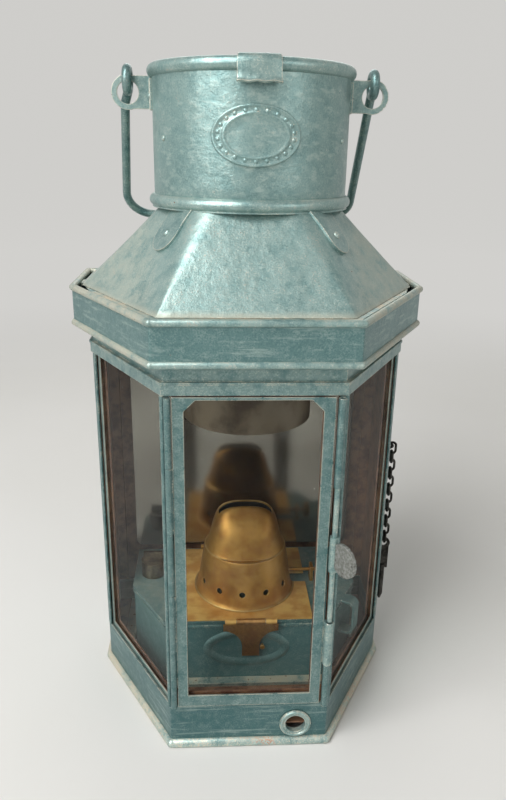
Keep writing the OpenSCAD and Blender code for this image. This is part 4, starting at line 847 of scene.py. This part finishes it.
# Bail lugs: a plate with a round eye at each side of the drum, on a foot bent to the drum and
# riveted. The right one has a chipped outer edge.
LUG_X, LUG_R, LUG_HOLE_R, LUG_T, LUG_HALF, LUG_CHIP = DRUM_R + 12.8, 8.8, 5.8, 1.6, 8.3, 0.9
LUG_ROOT, LUG_STEPS, CHIPPED = DRUM_R + 0.3, 60, range(13, 50)
SOLE_HALF, SOLE_TOP, SOLE_IN, SOLE_OUT = 8, 6.6, DRUM_R - 0.3, DRUM_R + 1.2
SOLE_LINE = ((SOLE_IN, -LUG_R), (SOLE_OUT, -LUG_R), (SOLE_OUT, SOLE_TOP), (SOLE_IN, SOLE_TOP))
lug_arc = acos(-sqrt(LUG_R ** 2 - LUG_HALF ** 2) / LUG_R)
lug_hole = [(LUG_X + x, y) for x, y in circle(LUG_HOLE_R, 48)]
lug_parts = []
for side in (-1, 1):
    lug_line = [(LUG_ROOT, -LUG_HALF)]
    for k in range(LUG_STEPS + 1):
        a = -lug_arc + 2 * lug_arc * k / LUG_STEPS
        chip = LUG_CHIP * max(0, noise.noise(Vector((k * 0.45, 7, 0))))
        r = LUG_R - (chip if side > 0 and k in CHIPPED else 0)
        lug_line.append((LUG_X + r * cos(a), r * sin(a)))
    lug_line.append((LUG_ROOT, LUG_HALF))
    lug_points, lug_faces = plate([lug_line, lug_hole], -LUG_T / 2, LUG_T / 2)
    lug_parts.append(([(side * x, y, LUG_Z + z) for x, z, y in lug_points], lug_faces))
    sole_turns = [asin(SOLE_HALF / DRUM_R) * (k / 4 - 1) for k in range(9)]
    lug_parts.append(skin([[(side * r * cos(a), r * sin(a), LUG_Z + z)
                            for r, z in SOLE_LINE] for a in sole_turns], loop=False))
lug_paint = enamel("lug_enamel", deep_paint_and_shade=0.2, wear=1.0, rub_and_sheen=0.4, dust=0.2, rust=0.6)
lugs = piece("lug_plates", *together(*lug_parts), lug_paint)
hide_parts("bail_lugs")


# Bail: one heavy wire, bent out of true by use, that hangs down behind the drum. Each of its ends
# is closed into an eye round a lug, so that it turns there.
BAIL_D, BAIL_EYE_R, BAIL_Z, BAIL_REST = 5, 5.5, 375.1, radians(36.3)
WIRE_SIDES = 24
# The corners of the wire, aside and down its own plane, each with the radius of its bend.
BAIL_TURNS = (((-LUG_X, 5.5), 0), ((-68.9, 14), 8), ((-75.6, 92), 16), ((66.4, 92), 12),
              ((66.2, 14), 8), ((LUG_X, 5.5), 0))
in_plane = Vector((0, sin(BAIL_REST), -cos(BAIL_REST)))
across = Vector((0, cos(BAIL_REST), sin(BAIL_REST)))


def bent_line(turns, steps=10):
    """A line through the given corners, each rounded by its own radius."""
    line = [Vector(turns[0][0])]
    for (before, _), (corner, bend), (after, _) in zip(turns, turns[1:], turns[2:]):
        into, out = ((Vector(q) - Vector(p)).normalized()
                     for p, q in ((before, corner), (corner, after)))
        turn = into.angle(out)
        start = Vector(corner) - into * bend * tan(turn / 2)
        side = (out - into * cos(turn)).normalized()
        for k in range(steps + 1):
            a = turn * k / steps
            line.append(start + into * bend * sin(a) + side * bend * (1 - cos(a)))
    return line + [Vector(turns[-1][0])]


bail_line = bent_line(BAIL_TURNS)
wire_rings = []
for k, point in enumerate(bail_line):
    ahead = bail_line[min(k + 1, len(bail_line) - 1)] - bail_line[max(k - 1, 0)]
    ahead = ahead.normalized()
    side = Vector((1, 0, 0)) * ahead.y - in_plane * ahead.x
    centre = Vector((point.x, 0, BAIL_Z)) + in_plane * point.y
    wire_rings.append([centre + BAIL_D / 2 * (across * c + side * s)
                       for c, s in circle(1, WIRE_SIDES)])
bail_parts = [skin(wire_rings, loop=False)]
for side in (-1, 1):
    eye_at = Vector((side * LUG_X, 0, BAIL_Z))
    eye_rings = []
    for y, z in circle(1, 40):
        out = Vector((0, y, z))
        eye_rings.append([eye_at + out * (BAIL_EYE_R + wide) + Vector((x, 0, 0))
                          for wide, x in circle(BAIL_D / 2, WIRE_SIDES)])
    bail_parts.append(skin(eye_rings))
bail_paint = enamel("bail_enamel", deep_paint_and_shade=0.75, wear=0.3, rub_and_sheen=0.3, dust=0.2, rust=0.5)
bail_wire = piece("bail_wire", *together(*bail_parts), bail_paint, "bail", "steel", crease=60)
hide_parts("bail")


# Front door: a folded frame round its pane, hung on five knuckles down its left edge. The edges of
# its light show brown where the glass and the old putty meet the paint.
DOOR_FACE = -82.57


def door_channel(paint):
    """A mask for what lies behind the door's outer face."""
    return paint.along((0, 1, 0)).step((DOOR_FACE + 0.75) * MM, (DOOR_FACE + 1.0) * MM)


dress(enamel("door_enamel", deep_paint_and_shade=0.75, wear=0.9, rub_and_sheen=0.2, dust=0.3, inside=door_channel),
      "door_frame")
dress(post_paint, "door_hinge_tubes", "door_knuckles", "latch_guides", "flap_hinge_tubes",
      "flap_knuckles", "peg_ear")


# Latch: a steel rod that drops through two tubes, worked by a cast thumb disc on a collar. The
# disc has lost its paint and is pitted grey metal.
def plain_metal(name, colour, dark, rough=0.35, lump=0.002, depth=0.05, tarnish=0.5):
    """Bare metal that darkens in clouds. lump is in metres and depth in millimetres."""
    metal = Finish(name)
    tone, fine = metal.noise(0.012, 4), metal.noise(lump, 3)
    shade = (tone * 0.75 + fine * 0.25).step(0.62, 0.36)
    metal.set(Base_Color=metal.mix(shade * tarnish, colour, dark), Metallic=1.0,
              Roughness=rough + 0.22 * shade, Normal=metal.relief(fine, depth * MM, 0.3 * MM))
    return metal


dress(plain_metal("worn_steel", srgb(176, 176, 168), srgb(96, 90, 80)),
      "door_hinge_pin", "flap_hinge_pin", "hasp_pin")
dress(enamel("latch_enamel", deep_paint_and_shade=0.4, wear=0.6, rub_and_sheen=0.55, dust=0, rust=0.4),
      "latch_collar", "latch_rod", "latch_knuckle")
disc_metal = Finish("pitted_casting")
pits = disc_metal.cells(0.0024).step(0.4, 0.1) * disc_metal.noise(0.006, 2).step(0.42, 0.62) * 0.7
rough_cast = disc_metal.noise(0.0015, 3)
disc_colour = disc_metal.mix(rough_cast.step(0.35, 0.6) * 0.7, srgb(158, 160, 156),
                             srgb(108, 108, 102))
disc_metal.set(Base_Color=disc_metal.mix(pits, disc_colour, srgb(66, 62, 58)), Metallic=0.6,
               Roughness=0.5 + 0.2 * pits,
               Normal=disc_metal.relief(rough_cast - pits, 0.35 * MM, 0.8 * MM))
dress(disc_metal, "thumb_disc")


# Back flap and reflector: the back is one hinged sheet, painted outside and red oxide within. It
# carries a flat silvered reflector on four spacers, dulled by heat.
REFLECTOR_HALF, REFLECTOR_BEND = 77.5, 4
dress(enamel("flap_enamel", deep_paint_and_shade=0.5, wear=0.7, rub_and_sheen=0.1, rust=0.5, inside=inside_case),
      "back_flap")
silvered = Finish("dull_silvering")
haze = silvered.noise(0.05, 1)
silver_colour = silvered.mix(haze.step(0.35, 0.7), srgb(132, 124, 117), srgb(156, 149, 142))
silvered.set(Base_Color=silver_colour, Metallic=1.0, Roughness=0.09 + 0.08 * haze)
(front, bottom), (rear, top) = ([v / MM for v in corner[1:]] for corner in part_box("reflector"))
mirror_line = rounded([(-REFLECTOR_HALF, bottom), (REFLECTOR_HALF, bottom), (REFLECTOR_HALF, top),
                       (-REFLECTOR_HALF, top)], REFLECTOR_BEND, parts=2)
mirror_points, mirror_faces = plate([mirror_line], front, rear)
mirror = piece("reflector_sheet", [(x, y, z) for x, z, y in mirror_points], mirror_faces,
               silvered, "flap", "reflector", crease=20)
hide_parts("reflector")


# Oil tank: soldered from thick sheet and painted a deeper teal, dusty on top, with a strap handle
# on its right and a capped filler on its left. An oval ring is pressed into its front.
TANK_FRONT, BOSS_Z, BOSS_W, BOSS_H = CASE_F - 41, 38.25, 53, 26
# Shares of the ring's size, each with its height over the tank.
BOSS_LINE = ((1.06, -0.2), (1.04, 0.15), (1.01, 0.7), (0.97, 1.0), (0.93, 1.0), (0.89, 0.8),
             (0.84, 0.3), (0.8, -0.2))
dress(enamel("tank_enamel", deep_paint_and_shade=0.75, wear=0.5, dust=0.3, rust=0.25, metal=0.15),
      "oil_tank", "tank_handle", "filler_neck")
boss_rings = []
for share, up in BOSS_LINE:
    shrink = (1 - share) * BOSS_W / 2
    boss_rings.append([((BOSS_W / 2 - shrink) * c, -TANK_FRONT - up,
                        BOSS_Z + (BOSS_H / 2 - shrink) * s) for c, s in circle(1, 96)])
boss_paint = enamel("boss_enamel", deep_paint_and_shade=0.7, wear=0.2, rub_and_sheen=0.1, metal=0.3)
piece("tank_boss", *skin(boss_rings, loop=False), boss_paint, "tank", "tank_paint", crease=70)


# Burner: a stamped brass plate, cone and flame cap round the wick tube, gone brown with heat. Air
# holes ring the cone, and a hasp on two knuckles holds the plate to a stud.
PLATE_TOP, CONE_H, CAP_H, BRASS_T, SHELL_SIDES = 60.85, 31, 29.6, 0.9, 96
SEAM_Z = PLATE_TOP + CONE_H
SLOT_L, SLOT_W, SLOT_FROM = 35, 8.5, 0.72
HOLES, HOLE_D, HOLE_UP, HOLE_FROM, HOLE_TO, HOLE_TURN = 12, 4, 10, 18, 42, -5
NOTCH_HALF, SPINDLE_Y, NOTCH_TOP, NOTCH_FROM, NOTCH_TO = 5.5, 5, 72.5, 20, 50
# Radii of the cone and of the cap, each with its height over the plate and over the seam.
CONE_LINE = ((34, 0.1), (33, 0.35), (32.2, 1.1), (31.6, 2.6), (31.1, 5), (30.5, 9), (29.8, 14.5),
             (28.9, 20), (27.9, 26), (27.3, 29.4), (27.25, 30.4), (26.9, 31.2))
CAP_LINE = ((26.3, 0.3), (25.6, 1.6), (24.6, 4), (23.5, 8), (22.3, 12.5), (21.2, 17), (20.0, 20.6),
            (18.6, 23.4), (16.4, 25.9), (13.4, 27.8), (9.6, 29.0), (5.2, 29.5), (1.5, 29.6))
# The cap's half depth at the seam, what it loses up to the top, what it loses besides from the
# share PINCH_FROM of its height on, and how square its plan is.
CAP_FLAT, CAP_TAPER, CAP_PINCH, PINCH_FROM, CAP_SQUARE = 24.5, 11, 8.5, 0.55, 9

brass = Finish("aged_brass")
tarnish, fine, stains = brass.noise(0.016, 4), brass.noise(0.0016, 3), brass.noise(0.006, 5, 0.7)
brass_colour = brass.mix(tarnish.step(0.35, 0.65), srgb(158, 110, 53), srgb(194, 146, 78))
brass_colour = brass.mix((stains + fine * 0.3).step(0.8, 0.97) * 0.5, brass_colour,
                         srgb(112, 76, 40))
# Edges and hole rims are mixed halfway towards a pale brass.
pale_edges = brass.edges(0.8 * MM) * stains.step(0.3, 0.5)
brass_colour = brass.mix(pale_edges * 0.5, brass_colour, srgb(232, 202, 140))
brass.set(Base_Color=brass_colour, Metallic=0.8,
          Roughness=0.34 + 0.2 * (1 - tarnish) + 0.08 * fine,
          Normal=brass.relief(fine * 0.4 + tarnish, 0.12 * MM, 0.6 * MM))
dress(brass, "wick_tube", "winder_spindle", "winder_knob", "plate_hinge", "hasp_stud")
dress(plain_metal("sooty_bronze", srgb(128, 112, 88), srgb(62, 52, 42), 0.34, 0.0015, 0.1, 0.9),
      "filler_cap")


def cap_ring(r, up, inset):
    """A level of the flame cap, flattened in front and behind more and more towards the slot."""
    share, ring = up / CAP_H, []
    pinch = CAP_PINCH * max(0, share - PINCH_FROM) / (1 - PINCH_FROM)
    flat = CAP_FLAT - CAP_TAPER * share - pinch - inset
    for c, s in circle(1, SHELL_SIDES):
        bound = flat / max(1e-3, abs(s))
        out = (max(0.4, r - inset) ** -CAP_SQUARE + bound ** -CAP_SQUARE) ** (-1 / CAP_SQUARE)
        ring.append((out * c, out * s, SEAM_Z + up - inset * share))
    return ring


def shell_side(inset):
    """Points and faces of one side of the cone and cap, inset mm within the outer one."""
    rings = [round_ring(r - inset, PLATE_TOP + up, SHELL_SIDES) for r, up in CONE_LINE]
    points, faces = skin(rings + [cap_ring(r, up, inset) for r, up in CAP_LINE], loop=False)
    return points, faces[:-2] + faces[-1:]


shell_outer, shell_inner = shell_side(0), shell_side(BRASS_T)
shell_points, shell_faces = together(shell_outer, shell_inner)
inner_start = len(shell_outer[0])
for i in range(SHELL_SIDES):
    after = (i + 1) % SHELL_SIDES
    shell_faces.append((i, after, inner_start + after, inner_start + i))
shell = piece("burner_shell", shell_points, shell_faces, brass, "burner", "brass", crease=60)
caked_soot = Finish("soot")
cake = caked_soot.noise(0.003, 4)
caked_soot.set(Base_Color=caked_soot.mix(cake, srgb(22, 18, 16), srgb(52, 40, 30)), Roughness=0.8,
               Normal=caked_soot.relief(cake, 0.2 * MM))
shell.data.materials.append(caked_soot.material)
for face in shell.data.polygons:
    if face.normal.dot(Vector((face.center.x, face.center.y, 20 * MM))) < 0:
        face.material_index = 1
cut(shell, *block((-SLOT_L / 2, -SLOT_W / 2, SEAM_Z + CAP_H * SLOT_FROM),
                  (SLOT_L / 2, SLOT_W / 2, SEAM_Z + 40)))
for i in range(HOLES):
    a = radians(360 / HOLES * i + HOLE_TURN)
    cut(shell, *rod([HOLE_FROM * cos(a), HOLE_FROM * sin(a), PLATE_TOP + HOLE_UP],
                    [HOLE_TO * cos(a), HOLE_TO * sin(a), PLATE_TOP + HOLE_UP], HOLE_D))
cut(shell, *block((NOTCH_FROM, SPINDLE_Y - NOTCH_HALF, PLATE_TOP - 2),
                  (NOTCH_TO, SPINDLE_Y + NOTCH_HALF, NOTCH_TOP)))
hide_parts("burner_cone", "flame_cap")

# The plate is dressed in a paler, less metallic brass than the cone: a painted highlight for its
# upward face, which catches the light.
plate_brass_painted_light = Finish("plate_brass_painted_light")
blotch, smear = plate_brass_painted_light.noise(0.012, 4), plate_brass_painted_light.noise(0.003, 3)
plate_colour = plate_brass_painted_light.mix(blotch.step(0.35, 0.65), srgb(206, 148, 76), srgb(236, 188, 110))
plate_brass_painted_light.set(Base_Color=plate_colour, Metallic=0.35, Roughness=0.36 + 0.15 * smear,
                Normal=plate_brass_painted_light.relief(smear + blotch, 0.1 * MM, 0.4 * MM))
dress(plate_brass_painted_light, "burner_plate")
dress(plain_metal("brown_brass", srgb(208, 156, 98), srgb(142, 96, 58), 0.4, 0.0018, 0.25, 0.8),
      "hasp_leaf")
cotton = Finish("cotton_wick")
weave = cotton.noise(0.0012, 2, 0.5, (1, 1, 3))
cotton_colour = cotton.mix(weave.step(0.4, 0.6), srgb(150, 136, 108), srgb(214, 204, 180))
cotton.set(Base_Color=cotton_colour, Roughness=0.9, Normal=cotton.relief(weave, 0.3 * MM))
dress(cotton, "wick")


# Chain and locking peg: plain iron wire links that hang from a staple on the right side, almost
# black, with the turned peg at their end.
dress(plain_metal("black_iron", srgb(84, 82, 78), srgb(34, 32, 30), 0.48, 0.0015, 0.12, 0.9),
      "chain_staple", "chain", "locking_peg")
